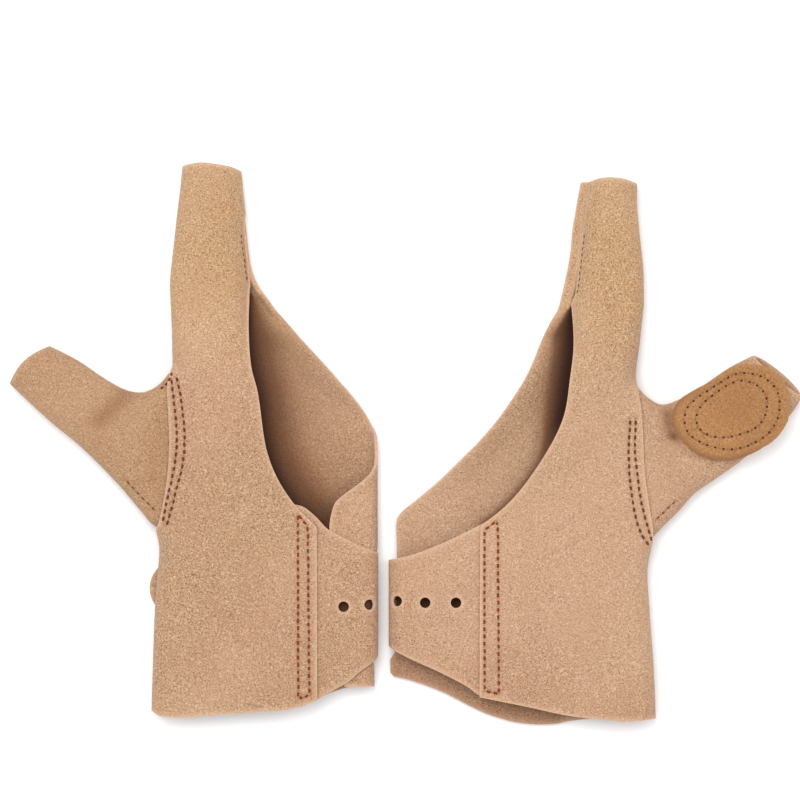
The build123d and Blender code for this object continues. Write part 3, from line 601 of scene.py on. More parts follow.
def thread(name, tone, dark):
    k = Nodes(name)
    where = k.place()
    fine = k.noise(where, 5200.0, 2.0, 0.6)
    slow = k.noise(where, 300.0, 2.0)
    c = k.mix(k.span(fine, 0.42, 0.66, 0.0, 0.55), tone, dark)
    c = k.mix(k.span(slow, 0.4, 0.65, 0.0, 0.3), c, dark)
    k.join(c, k.b.inputs["Base Color"])
    k.b.inputs["Roughness"].default_value = 0.78
    k.b.inputs["Specular IOR Level"].default_value = 0.15
    k.b.inputs["Sheen Weight"].default_value = 0.05
    k.join(k.bump(fine, 0.5, 0.00008), k.b.inputs["Normal"])
    return k.m


def metal(name, tone):
    k = Nodes(name)
    geometry = k.node("ShaderNodeTexCoord").outputs["Object"]
    fine = k.noise(geometry, 2600.0, 3.0)
    k.join(k.mix(k.span(fine, 0.4, 0.7, 0.0, 0.4), tone, srgb(120, 88, 40)), k.b.inputs["Base Color"])
    k.b.inputs["Metallic"].default_value = 1.0
    k.join(k.span(fine, 0.3, 0.7, 0.24, 0.42), k.b.inputs["Roughness"])
    return k.m


TAN = suede(
    "suede_tan", srgb(169, 135, 104), srgb(104, 68, 48), srgb(212, 180, 150),
    srgb(162, 120, 90), srgb(206, 172, 146), pink=srgb(175, 133, 109), gold=srgb(175, 140, 101),
)
CUT = suede(
    "suede_cut_edge", srgb(200, 162, 138), srgb(160, 112, 90), srgb(220, 190, 170),
    srgb(188, 144, 120), srgb(206, 168, 146), 0.2, 2400.0, 0.2,
)
GOLD = suede(
    "patch_nubuck", srgb(158, 112, 70), srgb(112, 74, 42), srgb(178, 136, 94),
    srgb(130, 88, 52), srgb(174, 132, 90), 0.45, 1500.0, 0.16,
)
GOLD_CUT = suede(
    "patch_cut_edge", srgb(150, 108, 68), srgb(112, 76, 44), srgb(182, 142, 100),
    srgb(132, 92, 56), srgb(176, 136, 96), 0.2, 2400.0, 0.12,
)
RUST = thread("thread_rust", srgb(138, 54, 14), srgb(84, 28, 8))
TAN_THREAD = thread("thread_tan_brown", srgb(112, 50, 20), srgb(72, 28, 10))
BROWN = thread("thread_brown", srgb(120, 70, 42), srgb(82, 44, 26))
BRASS = metal("stud_brass", srgb(196, 156, 86))


# ---------------------------------------------------------------- the main panels
def main_panel(name, turn, radial, front, back, hem, back_hem, tip, apex_y, front_mid, back_mid, lap, lift, curl,
               wrap=None, crease=(), seams=(), tube=(5.2, 1.6, 84.0), dark=None, ns=96, nb=116):
    """One continuous folded sheet: upper wall, rounded radial side, lower wall and the finger's tube.
    turn is +1 where the free side lies towards +X and -1 where it lies towards -X."""
    rows_low, rows_high = 168, 52
    tl, th = np.linspace(0, 1, rows_low), np.linspace(0, 1, rows_high)[1:]

    def levels(y0, ya, y1):
        return np.r_[y0 + tl * (ya - y0), ya + th * (y1 - ya)]

    rows = len(tl) + len(th)
    t = np.linspace(0, 1, rows)
    out = {}
    for which, (edge, foot, ends), n in (
        ("front", (front, hem, (hem[0], tip[-1] if turn > 0 else tip[-1])), ns),
        ("back", (back, back_hem, (back_hem[0], tip[-1])), nb),
    ):
        (ry, rx), (uy, ux) = radial, edge
        yr = levels(ry[0], apex_y, ry[-1])
        yu = levels(uy[0], apex_y, uy[-1])
        xr, xu = np.interp(yr, ry, rx), np.interp(yu, uy, ux)
        s = np.linspace(0, 1, n) ** 1.5
        x = xr[:, None] * (1 - s) + xu[:, None] * s
        y = yr[:, None] * (1 - s) + yu[:, None] * s
        h = foot[np.argsort(foot[:, 0])]
        y += (np.clip(1 - t / 0.16, 0, 1) ** 2)[:, None] * (np.interp(x[0], h[:, 0], h[:, 1]) - y[0])[None, :]
        c = tip[np.argsort(tip[:, 0])]
        y += (np.clip(1 - (1 - t) / 0.12, 0, 1) ** 2)[:, None] * (np.interp(x[-1], c[:, 0], c[:, 1]) - y[-1])[None, :]
        out[which] = (x, y, s, np.abs(x - xr[:, None]), np.abs(xu[:, None] - x), yr[:, None] * (1 - s) + yu[:, None] * s)

    fx, fy, fs, fd, fu, fl = out["front"]
    bx, by, bs, bd, bu, bl = out["back"]
    zf, zb = front_mid(fx, fy), back_mid(bx, by)
    # free edge of the upper wall stands up, and its middle is a little crowned
    zf = zf + lift[0] * np.exp(-((fu / lift[1]) ** 2)) * step01(fl, lift[2], lift[3]) * step01(fl, lift[5], lift[4])
    zf = zf + lift[6] * np.sin(np.pi * np.clip(fs, 0, 1)) ** 0.8 * step01(fl, -104, -60) * step01(fl, 60, 20)
    zf = zf + wander(fx, fy)
    zb = zb + curl[0] * np.exp(-((bu / curl[1]) ** 2)) * step01(bl, curl[2], curl[3]) * step01(bl, curl[5], curl[4])
    for path, deep, wide in crease:
        p = np.stack([fx.ravel(), fy.ravel()], -1)
        zf = zf - deep * np.exp(-((away(p, curve(path, 1.0)) / wide) ** 2)).reshape(zf.shape)
    # the finger tube's seam side comes down to a flat flange
    flange, margin, open_below = tube
    for_f, for_b = step01(fl, apex_y - 34, apex_y + 1), step01(bl, apex_y - 34, apex_y + 1)
    raw_f, raw_b = step01(fl, open_below + 10, open_below), step01(bl, open_below + 10, open_below)
    inset_f = (1.4 if margin < 3 else 0.4) * raw_f
    zf = zf - for_f * (1 - round_in((fu - inset_f) / 8.0) ** 1.5) * (zf - (flange + 0.66 * raw_f))
    zb = zb + for_b * (1 - round_in((bu - margin * raw_b) / 7.5)) * ((flange - 0.66 * raw_b) - zb)
    zb = zb - for_b * raw_b * np.clip(1 - bu / margin, 0, 1) ** 2 * (1.8 if margin > 3 else 0.3)
    # the radial side is closed above and below the thumb
    def closed(level):
        return np.maximum(step01(level, lap[1], lap[0]), step01(level, lap[2], lap[3]))

    kf, kb = closed(fl), closed(bl)
    centre = 7.2
    zf = zf - kf * (1 - round_in(fd / 6.5)) * (zf - centre)
    zb = zb + kb * (1 - round_in(bd / 6.5)) * (centre - zb)
    f = np.stack([fx, fy, zf], -1).reshape(-1, 3)
    if wrap:
        bx, zb = wrap(bx, by, zb)
    b = np.stack([bx, by, np.maximum(zb, SUEDE / 2 + 0.02)], -1).reshape(-1, 3)
    faces = grid(rows, ns, 0, flip=turn < 0) + grid(rows, nb, len(f), flip=turn > 0)
    obj = new_mesh(name, np.vstack([f, b]), faces, [TAN, CUT])
    bm = bmesh.new()
    bm.from_mesh(obj.data)
    bmesh.ops.remove_doubles(bm, verts=bm.verts[:], dist=2e-6)
    bm.to_mesh(obj.data)
    bm.free()
    refine(obj, seams, 1.5, 2, 6.0)
    p = positions(obj)
    normal_up = np.array([v.normal.z for v in obj.data.vertices]) > 0.2
    p[:, 2] -= np.where(normal_up & (p[:, 2] > 5), pulled(p[:, 0], p[:, 1], seams), 0)
    set_positions(obj, p)
    thicken(obj, SUEDE)
    # painted shade inside the glove's hollow
    if dark:
        paint_pocket_shade(obj, turn, radial, *dark)
    return obj


def paint_pocket_shade(obj, turn, fold, edge, reach, power, cover, apex_y, extra, seams):
    """Paints shade into the colour as the deep attribute: darker the deeper each point lies inside the hand's hollow
    under the upper wall, on that wall's underside, under the strap and through its holes, and at the needle points.
    """
    p = positions(obj)
    n = np.array([v.normal[:] for v in obj.data.vertices])
    deep = np.zeros(len(p))
    from_fold = (p[:, 0] - np.interp(p[:, 1], fold[0], fold[1])) * turn
    faces_in = (from_fold > 8.5) | (n[:, 0] * turn > 0.03)
    top = 9.0 - 3.6 * step01(p[:, 1], apex_y - 30, apex_y - 6)
    inner = (n[:, 2] > 0.1) & (p[:, 2] < top) & (p[:, 1] < apex_y + 2) & faces_in
    q = p[inner][:, :2]
    under = inside(q, cover)
    d = away(q, edge[::3])
    wide, share = reach(q[:, 1])
    wide = np.minimum(wide, 0.5 + 0.75 * np.maximum(apex_y - q[:, 1], 0))
    # painted shade: darker towards the upper wall's free edge, full under that wall
    deep[inner] = share * np.where(under, 1.0, np.exp(-((d / wide) ** power))) * step01(q[:, 1], apex_y + 1.0, apex_y - 2.5)
    # painted shade on the upper wall's underside
    below = (n[:, 2] < -0.15) & (p[:, 2] > 5.0) & (p[:, 1] < apex_y) & faces_in & (from_fold > 0.6)
    deep[below] = 0.6 * step01(p[below, 1], apex_y - 2, apex_y - 12)
    # painted shadow in the given boxes under the strap
    for low, high, share in extra:
        hit = (n[:, 2] > 0.2) & np.all((p > low) & (p < high), axis=1)
        deep[hit] = np.maximum(deep[hit], share)
    # painted shade on the wall seen through the strap's holes
    for x, y in ((-14.6, -64.4), (-24.9, -65.2), (-3.5, -63.0), (7.7, -63.6), (20.0, -63.6)):
        hit = (n[:, 2] > 0.2) & (p[:, 2] < 10.6) & (np.hypot(p[:, 0] - x, p[:, 1] - y) < 3.6)
        deep[hit] = 0.72
    # painted shade in the needle holes
    deep = np.maximum(deep, needle_marks(p, seams, 0.32) * (n[:, 2] > 0.2) * (p[:, 2] > 9) * 0.30)
    layer = obj.data.attributes.new("deep", "FLOAT", "POINT")
    layer.data.foreach_set("value", deep.astype(np.float32))
    warm = step01(p[:, 1], 18.0, 62.0)
    obj.data.attributes.new("warm", "FLOAT", "POINT").data.foreach_set("value", warm.astype(np.float32))


def left_wrap(x, y, z):
    """The left lower wall's end turns up and back over the wrist, drawn in a little under the strap."""
    axis = -17.3 + 1.3 * step01(y, -50, -40)
    r = 4.15 - 0.75 * step01(y, -44, -54) * step01(y, -92, -82)
    run = x - axis
    a = np.clip(run / r, 0, math.pi)
    level = z - 2.3
    past = np.maximum(run - math.pi * r, 0)
    rise = level * np.cos(a)
    x2 = np.where(run <= 0, x, axis + (r - level) * np.sin(a) - past)
    z2 = np.where(run <= 0, z, 2.3 + r - (r - level) * np.cos(a))
    sunk = 2.0 * step01(y, -44, -54) * step01(y, -92, -82) * step01(past, -2.0, 5.0)
    z2 = z2 + np.where(run > r * math.pi * 0.5, wander(x2, y) * step01(a, 1.6, 3.1) - sunk, 0)
    return x2, z2


left_radial = side(curve(LEFT_RADIAL_LOW), curve(LEFT_LAP_EDGE), curve(LEFT_RADIAL_HIGH), curve(LEFT_SLEEVE_RADIAL))
left_front = side(line([LEFT_FRONT_HEM[0], LEFT_OPENING_EDGE[-1]]), curve(LEFT_OPENING_EDGE), curve(LEFT_SLEEVE_ULNAR))
LEFT_BACK_UNFOLDED = [
    (2.8, -97.2), (9.4, -86.6), (9.4, -60.0), (10.0, -50.0), (11.6, -34.2), (11.1, -29.2), (9.4, -23.8), (7.44, -21.7),
    (-0.96, -15.4), (-5.15, -11.7), (-8.2, -7.5), (-9.9, -2.0), (-11.4, 3.4), (-13.7, 7.2), (-15.76, 11.2),
]
LEFT_BACK_RIM = [
    (-66.36, 108.92), (-65.88, 102.6), (-64.72, 92.2), (-63.7, 81.4), (-63.2, 77.2), (-62.3, 71.0), (-61.0, 66.8),
    (-58.6, 62.0), (-55.0, 57.2), (-52.2, 53.2), (-48.6, 49.2), (-43.4, 43.2), (-37.8, 37.2), (-32.2, 31.2),
    (-27.0, 25.2), (-21.8, 19.2), (-18.6, 15.2), (-15.76, 11.2),
]
left_back = side(curve(LEFT_BACK_UNFOLDED), curve(LEFT_BACK_RIM))
left_back_hem = np.vstack([line([(2.8, -97.2), (-4.26, -97.2), (-11.0, -97.2), (-17.28, -97.0)]), curve(LEFT_BACK_HEM)[8:]])


def left_front_mid(x, y):
    return 13.2 + 0 * x


def left_back_mid(x, y):
    return 2.3 - 1.68 * step01(y, 42.0, 54.0)


left_cover = np.vstack([curve(LEFT_OPENING_EDGE), line([LEFT_OPENING_EDGE[-1], LEFT_FRONT_HEM[0]]), curve(LEFT_FRONT_HEM), np.array([(-130.0, -106.0), (-130.0, 120.0), (-60.0, 120.0)])])
left_panel = main_panel(
    "left_suede_panel", 1, left_radial, left_front, left_back, curve(LEFT_FRONT_HEM), left_back_hem,
    curve(LEFT_SLEEVE_TIP), 61.96, left_front_mid, left_back_mid, (-39.0, -33.0, 27.0, 33.0),
    (4.6, 17.0, -30.0, 4.0, 30.0, 62.0, 2.6), (4.2, 10.0, 10.0, 26.0, 44.0, 60.0), left_wrap,
    crease=[([(-90, 76), (-84, 74), (-76, 76)], 0.35, 2.6)],
    seams=["left_strap", "left_thumb_1", "left_thumb_2", "left_index"],
    # settings of the painted shade inside the glove, with painted shadow on the flap under the strap's holes
    dark=(
        curve(LEFT_OPENING_EDGE), lambda y: (17.5 - 3.0 * step01(y, 15.0, 60.0), 0.92), 1.1, left_cover, 61.5,
        [((-31, -86, 4), (-11, -46, 12), 0.45)], ["left_strap", "left_thumb_1", "left_thumb_2", "left_index"],
    ),
)

right_radial = side(curve(RIGHT_RADIAL_LOW), curve(RIGHT_LAP_EDGE), curve(RIGHT_RADIAL_HIGH), curve(RIGHT_SLEEVE_RADIAL))
# the upper wall's free edge runs on up the finger, inside the lower wall's margin
RIGHT_TUBE_EDGE = [
    (66.44, 55.96), (67.5, 58.8), (68.2, 63.4), (68.9, 69.4), (69.7, 76.6), (70.9, 87.4), (72.2, 97.4), (73.8, 104.84),
]
right_front = side(line([RIGHT_FRONT_HEM[0], RIGHT_OPENING_EDGE[-1]]), curve(RIGHT_OPENING_EDGE), curve(RIGHT_TUBE_EDGE))
RIGHT_BACK_RIM = [
    (70.44, 104.44), (69.04, 97.2), (68.1, 91.2), (67.04, 85.2), (66.6, 79.2), (65.8, 73.2), (64.64, 67.2), (63.3, 61.2),
    (61.1, 53.2), (58.7, 49.2), (56.6, 45.2), (53.8, 39.2), (51.3, 33.2), (47.3, 25.2), (42.2, 17.2), (36.5, 9.2),
    (29.7, 1.2), (21.7, -6.8), (13.6, -14.8), (4.1, -22.8), (-1.76, -27.6), (-3.6, -30.6), (-3.7, -40.8),
]
RIGHT_BACK_FOOT = [
    (-6.2, -91.8), (-5.4, -93.2), (-3.0, -93.7), (1.8, -94.9), (9.0, -97.3), (15.8, -100.1), (20.2, -102.4), (25.8, -105.3),
    (31.8, -108.1), (37.8, -110.1), (43.4, -111.6), (49.8, -112.4), (54.6, -112.6), (60.2, -112.3), (65.8, -111.2),
    (73.8, -110.4), (89.1, -111.0), (99.44, -110.0),
]
right_back = side(line([RIGHT_BACK_FOOT[0], (-6.3, -86.6), (-4.2, -83.4), (-3.5, -80.0), (-3.5, -60.0), (-3.7, -40.8)]), curve(RIGHT_BACK_RIM))


def right_back_mid(x, y):
    return 2.3 - 1.68 * step01(y, 36.0, 48.0)


right_cover = np.vstack([curve(RIGHT_OPENING_EDGE), line([RIGHT_OPENING_EDGE[-1], RIGHT_FRONT_HEM[0]]), curve(RIGHT_FRONT_HEM), np.array([(130.0, -110.0), (130.0, 120.0), (68.0, 120.0)])])
right_panel = main_panel(
    "right_suede_panel", -1, right_radial, right_front, right_back, curve(RIGHT_FRONT_HEM), curve(RIGHT_BACK_FOOT),
    curve(RIGHT_SLEEVE_TIP), 55.96, left_front_mid, right_back_mid, (-45.0, -38.6, 20.4, 26.4),
    (4.6, 17.0, -30.0, 2.0, 24.0, 56.0, 2.6), (3.0, 9.0, -26.0, -4.0, 36.0, 54.0),
    crease=[([(73.6, 64.0), (80.0, 66.5), (89.6, 73.6)], 0.7, 2.4), ([(79.0, 52.0), (84.0, 47.0), (90.0, 44.0)], 0.35, 3.0)],
    seams=["right_strap", "right_thumb_1", "right_thumb_2", "right_index"], tube=(5.6, 4.0, 130.0),
    # settings of the painted shade inside the glove, with painted shadow on the lower wall below the strap
    dark=(
        curve(RIGHT_OPENING_EDGE), lambda y: (2.0 + 7.6 * step01(y, -12.0, 20.0), 0.5 + 0.5 * step01(y, -10.0, 12.0)), 2.3, right_cover, 55.9,
        [((-8, -116, 0), (62, -82, 6), 0.26)], ["right_strap", "right_thumb_1", "right_thumb_2", "right_index"],
    ),
)


# ---------------------------------------------------------------- thumb sleeves
def thumb_sleeve(name, turn, upper, lap, lower, tip_out, low_out, seams, crease=(), shade_paths=(), tone=0.0, warm=0.0, top_rise=1.9):
    """A tapered tube, flattened at its root between the walls. upper runs web to tip, lower runs bottom to tip."""
    rows, cols = 78, 58
    u, l = resample(upper, rows), resample(lower, rows)
    s = (1 - np.cos(np.pi * np.linspace(0, 1, cols))) / 2
    t = np.linspace(0, 1, rows)
    root = at_lengths(lap, s * lengths(lap)[-1])
    a, b = u[-1], l[-1]
    chord = b - a
    normal = np.array([chord[1], -chord[0]]) / np.linalg.norm(chord)
    if normal[0] * -turn < 0:
        normal = -normal
    end = a + s[:, None] * chord + tip_out * np.sin(np.pi * s)[:, None] * normal
    S, T = s[None, :, None], t[:, None, None]
    plan = (1 - S) * u[:, None] + S * l[:, None] + (1 - T) * root[None] + T * end[None] - (
        (1 - S) * (1 - T) * u[0] + S * (1 - T) * l[0] + (1 - S) * T * u[-1] + S * T * l[-1]
    )
    x, y = plan[..., 0], plan[..., 1]
    d0 = np.hypot(x - u[:, None, 0], y - u[:, None, 1])
    d1 = np.hypot(x - l[:, None, 0], y - l[:, None, 1])
    grow = step01(t, 0.06, 0.45)[:, None]
    full = np.minimum(d0, d1)
    r = 5.0 + 3.0 * grow
    shape = round_in(d0 / r) * round_in(d1 / r)
    crown = np.sin(np.pi * s)[None, :] ** 0.9
    top = 11.75 + grow * top_rise * crown + wander(x, y)
    low = 3.65 - 2.2 * grow
    p2 = np.stack([x.ravel(), y.ravel()], -1)
    for path, deep, wide in crease:
        top = top - deep * np.exp(-((away(p2, curve(path, 1.0)) / wide) ** 2)).reshape(x.shape)
    mid = 7.4
    zt = mid + (top - mid) * shape
    zb = np.maximum(mid - (mid - low) * shape, SUEDE / 2 + 0.02)
    more = low_out * (np.clip(t - 0.75, 0, 1) / 0.25)[:, None] ** 2 * np.sin(np.pi * s)[None, :] ** 0.6
    v = np.vstack([
        np.stack([x, y, zt], -1).reshape(-1, 3),
        np.stack([x + more * normal[0], y + more * normal[1], zb], -1).reshape(-1, 3),
    ])
    up = turn > 0
    faces = grid(rows, cols, 0, flip=up) + grid(rows, cols, rows * cols, flip=not up)
    obj = new_mesh(name, v, faces, [TAN, CUT])
    bm = bmesh.new()
    bm.from_mesh(obj.data)
    bmesh.ops.remove_doubles(bm, verts=bm.verts[:], dist=2e-6)
    bmesh.ops.recalc_face_normals(bm, faces=bm.faces[:])
    if sum(f.normal.z * f.calc_center_median().z for f in bm.faces) < 0:
        bmesh.ops.reverse_faces(bm, faces=bm.faces[:])
    bm.to_mesh(obj.data)
    bm.free()
    refine(obj, seams, 1.5, 2, 6.0)
    p = positions(obj)
    normal_up = np.array([w.normal.z for w in obj.data.vertices]) > 0.2
    p[:, 2] -= np.where(normal_up & (p[:, 2] > 5), pulled(p[:, 0], p[:, 1], seams), 0)
    set_positions(obj, p)
    thicken(obj, SUEDE)
    layer = obj.data.attributes.new("deep", "FLOAT", "POINT")
    q = positions(obj)
    n = np.array([w.normal.z for w in obj.data.vertices])
    # painted shade in the needle holes
    marks = needle_marks(q, seams, 0.32) * (n > 0.2) * (q[:, 2] > 6) * 0.30
    # tone makes the whole sleeve evenly darker; the shade paths paint shade along creases and beside edges
    shade = np.full(len(q), tone)
    for path, share, wide in shade_paths:
        shade = shade + share * np.exp(-((away(q[:, :2], curve(path, 1.0)) / wide) ** 2)) * (n > 0.2)
    layer.data.foreach_set("value", np.clip(np.maximum(marks, shade), 0, 1).astype(np.float32))
    obj.data.attributes.new("warm", "FLOAT", "POINT").data.foreach_set("value", np.full(len(q), warm, dtype=np.float32))
    return obj


left_thumb = thumb_sleeve(
    "left_suede_thumb", 1, curve(LEFT_THUMB_UPPER[::-1]), curve(LEFT_THUMB_LAP),
    curve([LEFT_THUMB_LAP[-1]] + LEFT_THUMB_LOWER), 2.4, -0.6, ["left_thumb"],
    crease=[([(-112.5, 19.5), (-117.0, 14.0), (-123.0, 8.0)], 1.5, 3.2), ([(-104.4, 17.4), (-112.0, 10.5), (-120.5, 3.0)], -0.8, 2.8)],
    # painted shade along the crease's valley and beside the lap seam; the whole sleeve is also made evenly darker
    shade_paths=[([(-112.0, 19.0), (-117.0, 14.0), (-122.0, 9.5)], 0.22, 4.2), ([(-99.0, 6.0), (-100.0, -4.0), (-101.0, -14.0)], 0.06, 5.0)],
    tone=0.17, warm=0.7,
)
right_thumb = thumb_sleeve(
    "right_suede_thumb", -1, curve(RIGHT_THUMB_UPPER), curve(RIGHT_THUMB_LAP[::-1]),
    curve([RIGHT_THUMB_LAP[0]] + RIGHT_THUMB_LOWER[::-1]), -1.2, 3.6, ["right_thumb"],
    crease=[([(100.0, 2.0), (102.0, -6.0), (101.0, -14.0)], 0.45, 3.4)],
    # painted shadow beside the patch's left and lower edges, and painted shade along the crease
    shade_paths=[
        ([(104.6, 12.0), (105.0, 8.0), (106.0, 3.0)], 0.42, 3.0), ([(107.4, 3.0), (109.2, 0.0), (112.2, -2.9), (116.6, -5.2), (122.0, -6.4)], 0.24, 1.5),
        ([(99.0, 14.0), (102.0, 0.0), (106.0, -14.0)], 0.10, 6.0),
    ],
    warm=0.1,
)


# ---------------------------------------------------------------- flat patterns
def flat_pattern(loop, holes, spacing=1.25, extra=()):
    """Triangles of a flat cut with round holes. loop is a closed outline; holes are (centre, radius)."""
    loops = [loop]
    for (cx, cy), r in holes:
        a = np.linspace(0, 2 * math.pi, 28, endpoint=False)
        loops.append(np.stack([cx + r * np.cos(a), cy + r * np.sin(a)], -1))
        a = a + math.pi / 28
        extra = list(extra) + [(cx + (r + 0.5) * math.cos(k), cy + (r + 0.5) * math.sin(k)) for k in a]
    pts, edges = [], []
    for lp in loops:
        base = len(pts)
        pts += [tuple(q) for q in lp]
        edges += [(base + i, base + (i + 1) % len(lp)) for i in range(len(lp))]
    low, high = loop.min(0), loop.max(0)
    gx, gy = np.meshgrid(np.arange(low[0], high[0], spacing), np.arange(low[1], high[1], spacing * 0.866))
    gx = gx + (np.arange(gx.shape[0]) % 2)[:, None] * spacing / 2
    g = np.stack([gx.ravel(), gy.ravel()], -1)
    g = g[inside(g, loop)]
    g = g[away(g, np.vstack([loop, loop[:1]])) > spacing * 0.45]
    for (cx, cy), r in holes:
        g = g[np.hypot(g[:, 0] - cx, g[:, 1] - cy) > r + 0.5 + spacing * 0.45]
    pts += [tuple(q) for q in g] + [tuple(q) for q in extra]
    made = delaunay_2d_cdt([Vector(p) for p in pts], edges, [], 0, 1e-6)
    v = np.array([(q.x, q.y) for q in made[0]])
    tri = np.array([f for f in made[2] if len(f) == 3])
    mid = v[tri].mean(1)
    keep = inside(mid, loop)
    for (cx, cy), r in holes:
        keep &= np.hypot(mid[:, 0] - cx, mid[:, 1] - cy) > r * 0.985
    tri = tri[keep]
    a, b, c = v[tri[:, 0]], v[tri[:, 1]], v[tri[:, 2]]
    turn = (b[:, 0] - a[:, 0]) * (c[:, 1] - a[:, 1]) - (b[:, 1] - a[:, 1]) * (c[:, 0] - a[:, 0])
    tri = np.where((turn > 0)[:, None], tri, tri[:, ::-1])
    tri = tri[np.abs(turn) > 1e-5]
    used = np.unique(tri)
    back = np.full(len(v), -1)
    back[used] = np.arange(len(used))
    return v[used], back[tri]


def even(loop, step=0.8):
    """A closed outline sampled evenly, with its corners kept by the fine step."""
    ring = np.vstack([loop, loop[:1]])
    n = max(8, int(lengths(ring)[-1] / step))
    return resample(ring, n + 1)[:-1]


def strap(name, sign, axis, top, bottom, holes, tip, tip_run):
    """A wrist strap cut flat and turned round the wrist's side. The outline is along the strap, and x along its upper
    part; sign +1 turns towards +X."""
    r = 5.65
    arc = np.linspace(math.pi / 2, -math.pi / 2, 40)
    cap = np.stack([tip_run + 11.6 * np.cos(arc), tip[1] + 11.6 * np.sin(arc)], -1)
    loop = np.vstack([curve(top), cap, curve(bottom)[::-1]])
    loop = even(loop)
    v, tri = flat_pattern(loop, holes)
    q, y = v[:, 0], v[:, 1]
    run = q - axis
    a = np.clip(run / r, 0, math.pi)
    past = np.maximum(run - math.pi * r, 0)
    x = np.where(run <= 0, q, axis + r * np.sin(a) - past)
    z = np.where(run <= 0, 11.9, 6.25 + r * np.cos(a))
    z = z + wander(sign * x, y) * step01(z, 7.5, 11.5) - 0.05
    z = np.maximum(z, SUEDE / 2 + 0.01)
    obj = new_mesh(name, np.stack([sign * x, y, z], -1), [tuple(int(i) for i in f) for f in (tri if sign > 0 else tri[:, ::-1])], [TAN, CUT])
    thicken(obj, SUEDE - 0.02, bevel=0.2)
    return obj, flat_area(loop), loop


left_strap, left_strap_area, left_loop = strap(
    "left_suede_strap", 1, -17.3,
    [(-45.16, -24.2), (-41.16, -25.2), (-35.8, -29.4), (-31.16, -34.2), (-25.56, -37.16), (-17.96, -41.0), (-8.43, -43.9),
     (0.45, -43.8), (4.85, -43.5), (40.0, -45.0), (74.35, -46.4)],
    [(-45.16, -105.0), (-35.4, -102.2), (-30.36, -99.4), (-25.96, -97.0), (-23.28, -95.4), (-17.3, -90.4), (-8.43, -85.0),
     (0.45, -84.5), (4.85, -84.5), (40.0, -77.0), (74.35, -69.6)],
    [((-24.9, -65.2), 2.1), ((-14.49, -64.4), 2.1)] + [((14.35 + 12.6 * i, -64.6 + 0.6 * i), 2.1) for i in range(5)],
    (74.35, -58.0), 74.35,
)
right_strap, right_strap_area, right_loop = strap(
    "right_suede_strap", -1, 0.7,
    [(-38.84, -27.4), (-30.2, -32.2), (-24.04, -35.28), (-16.44, -39.0), (-4.84, -43.68), (0.7, -45.3), (9.57, -46.6),
     (18.45, -45.8), (22.85, -45.0), (50.0, -48.0), (76.75, -51.0)],
    [(-38.84, -102.2), (-30.2, -101.0), (-24.04, -96.88), (-12.6, -91.0), (-1.12, -85.8), (2.0, -84.2), (9.57, -81.0),
     (18.45, -82.2), (22.85, -82.5), (50.0, -78.3), (76.75, -74.2)],
    [((-20.0, -63.6), 2.1), ((-7.7, -63.6), 2.1), ((3.63, -63.0), 2.1)] + [((54.45 + 12.6 * i, -63.8 + 0.2 * i), 2.1) for i in (-2, -1, 0, 1)],
    (76.75, -62.6), 76.75,
)

# ---------------------------------------------------------------- the thumb's wear patch
patch_loop = even(curve(PATCH_EDGE, 0.4, closed=True), 0.55)
needle = [tuple(q) for n in ("patch_outer", "patch_inner") for q in places(*SEAMS[n], closed=True)]
pv, ptri = flat_pattern(patch_loop, [], 0.46, needle)
middle = patch_loop.mean(0)
from_edge = away(pv, np.vstack([patch_loop, patch_loop[:1]]))
pz = 15.8 - 1.3 * (np.hypot(*(pv - middle).T) / 24.0) ** 2 + 0.5 * wander(pv[:, 0] * 1.6, pv[:, 1] * 1.6)
pz = pz - pulled(pv[:, 0], pv[:, 1], ["patch_outer", "patch_inner"], 0.30, 1.0, 0.9, 0.55)
pz = pz - 0.5 * np.exp(-((from_edge / 0.9) ** 2))
patch = new_mesh("right_thumb_patch_leather", np.stack([pv[:, 0], pv[:, 1], pz], -1), [tuple(int(i) for i in f) for f in ptri], [GOLD, GOLD_CUT])
thicken(patch, 2.6, bevel=0.55)
q = positions(patch)
# painted shade in the needle holes
marks = needle_marks(q, ["patch_outer", "patch_inner"], 0.34) * (q[:, 2] > 13.2) * 0.3
middle_dark = 0.16 * np.exp(-((np.hypot(q[:, 0] - 134, q[:, 1] - 13.5) / 9.0) ** 2))
# painted shade round the patch's rim, heavier towards its lower left
at_rim = away(q[:, :2], np.vstack([patch_loop, patch_loop[:1]]))
to_low_left = np.clip(0.5 - 0.035 * ((q[:, 0] - middle[0]) + (q[:, 1] - middle[1])), 0.15, 1.0)
painted_rim_shade = 0.40 * np.exp(-((at_rim / 1.5) ** 2)) * to_low_left
patch.data.attributes.new("deep", "FLOAT", "POINT").data.foreach_set("value", np.clip(marks + middle_dark + painted_rim_shade, 0, 1).astype(np.float32))


# ---------------------------------------------------------------- stitches
def surface_of(*objs):
    trees = []
    for o in objs:
        p = positions(o)
        trees.append(BVHTree.FromPolygons([Vector(q) for q in p], [tuple(f.vertices) for f in o.data.polygons]))
    return trees


def height(trees, x, y):
    best = None
    for t in trees:
        hit = t.ray_cast(Vector((x, y, 60.0)), Vector((0, 0, -1)))[0]
        if hit is not None and (best is None or hit.z > best):
            best = hit.z
    return best


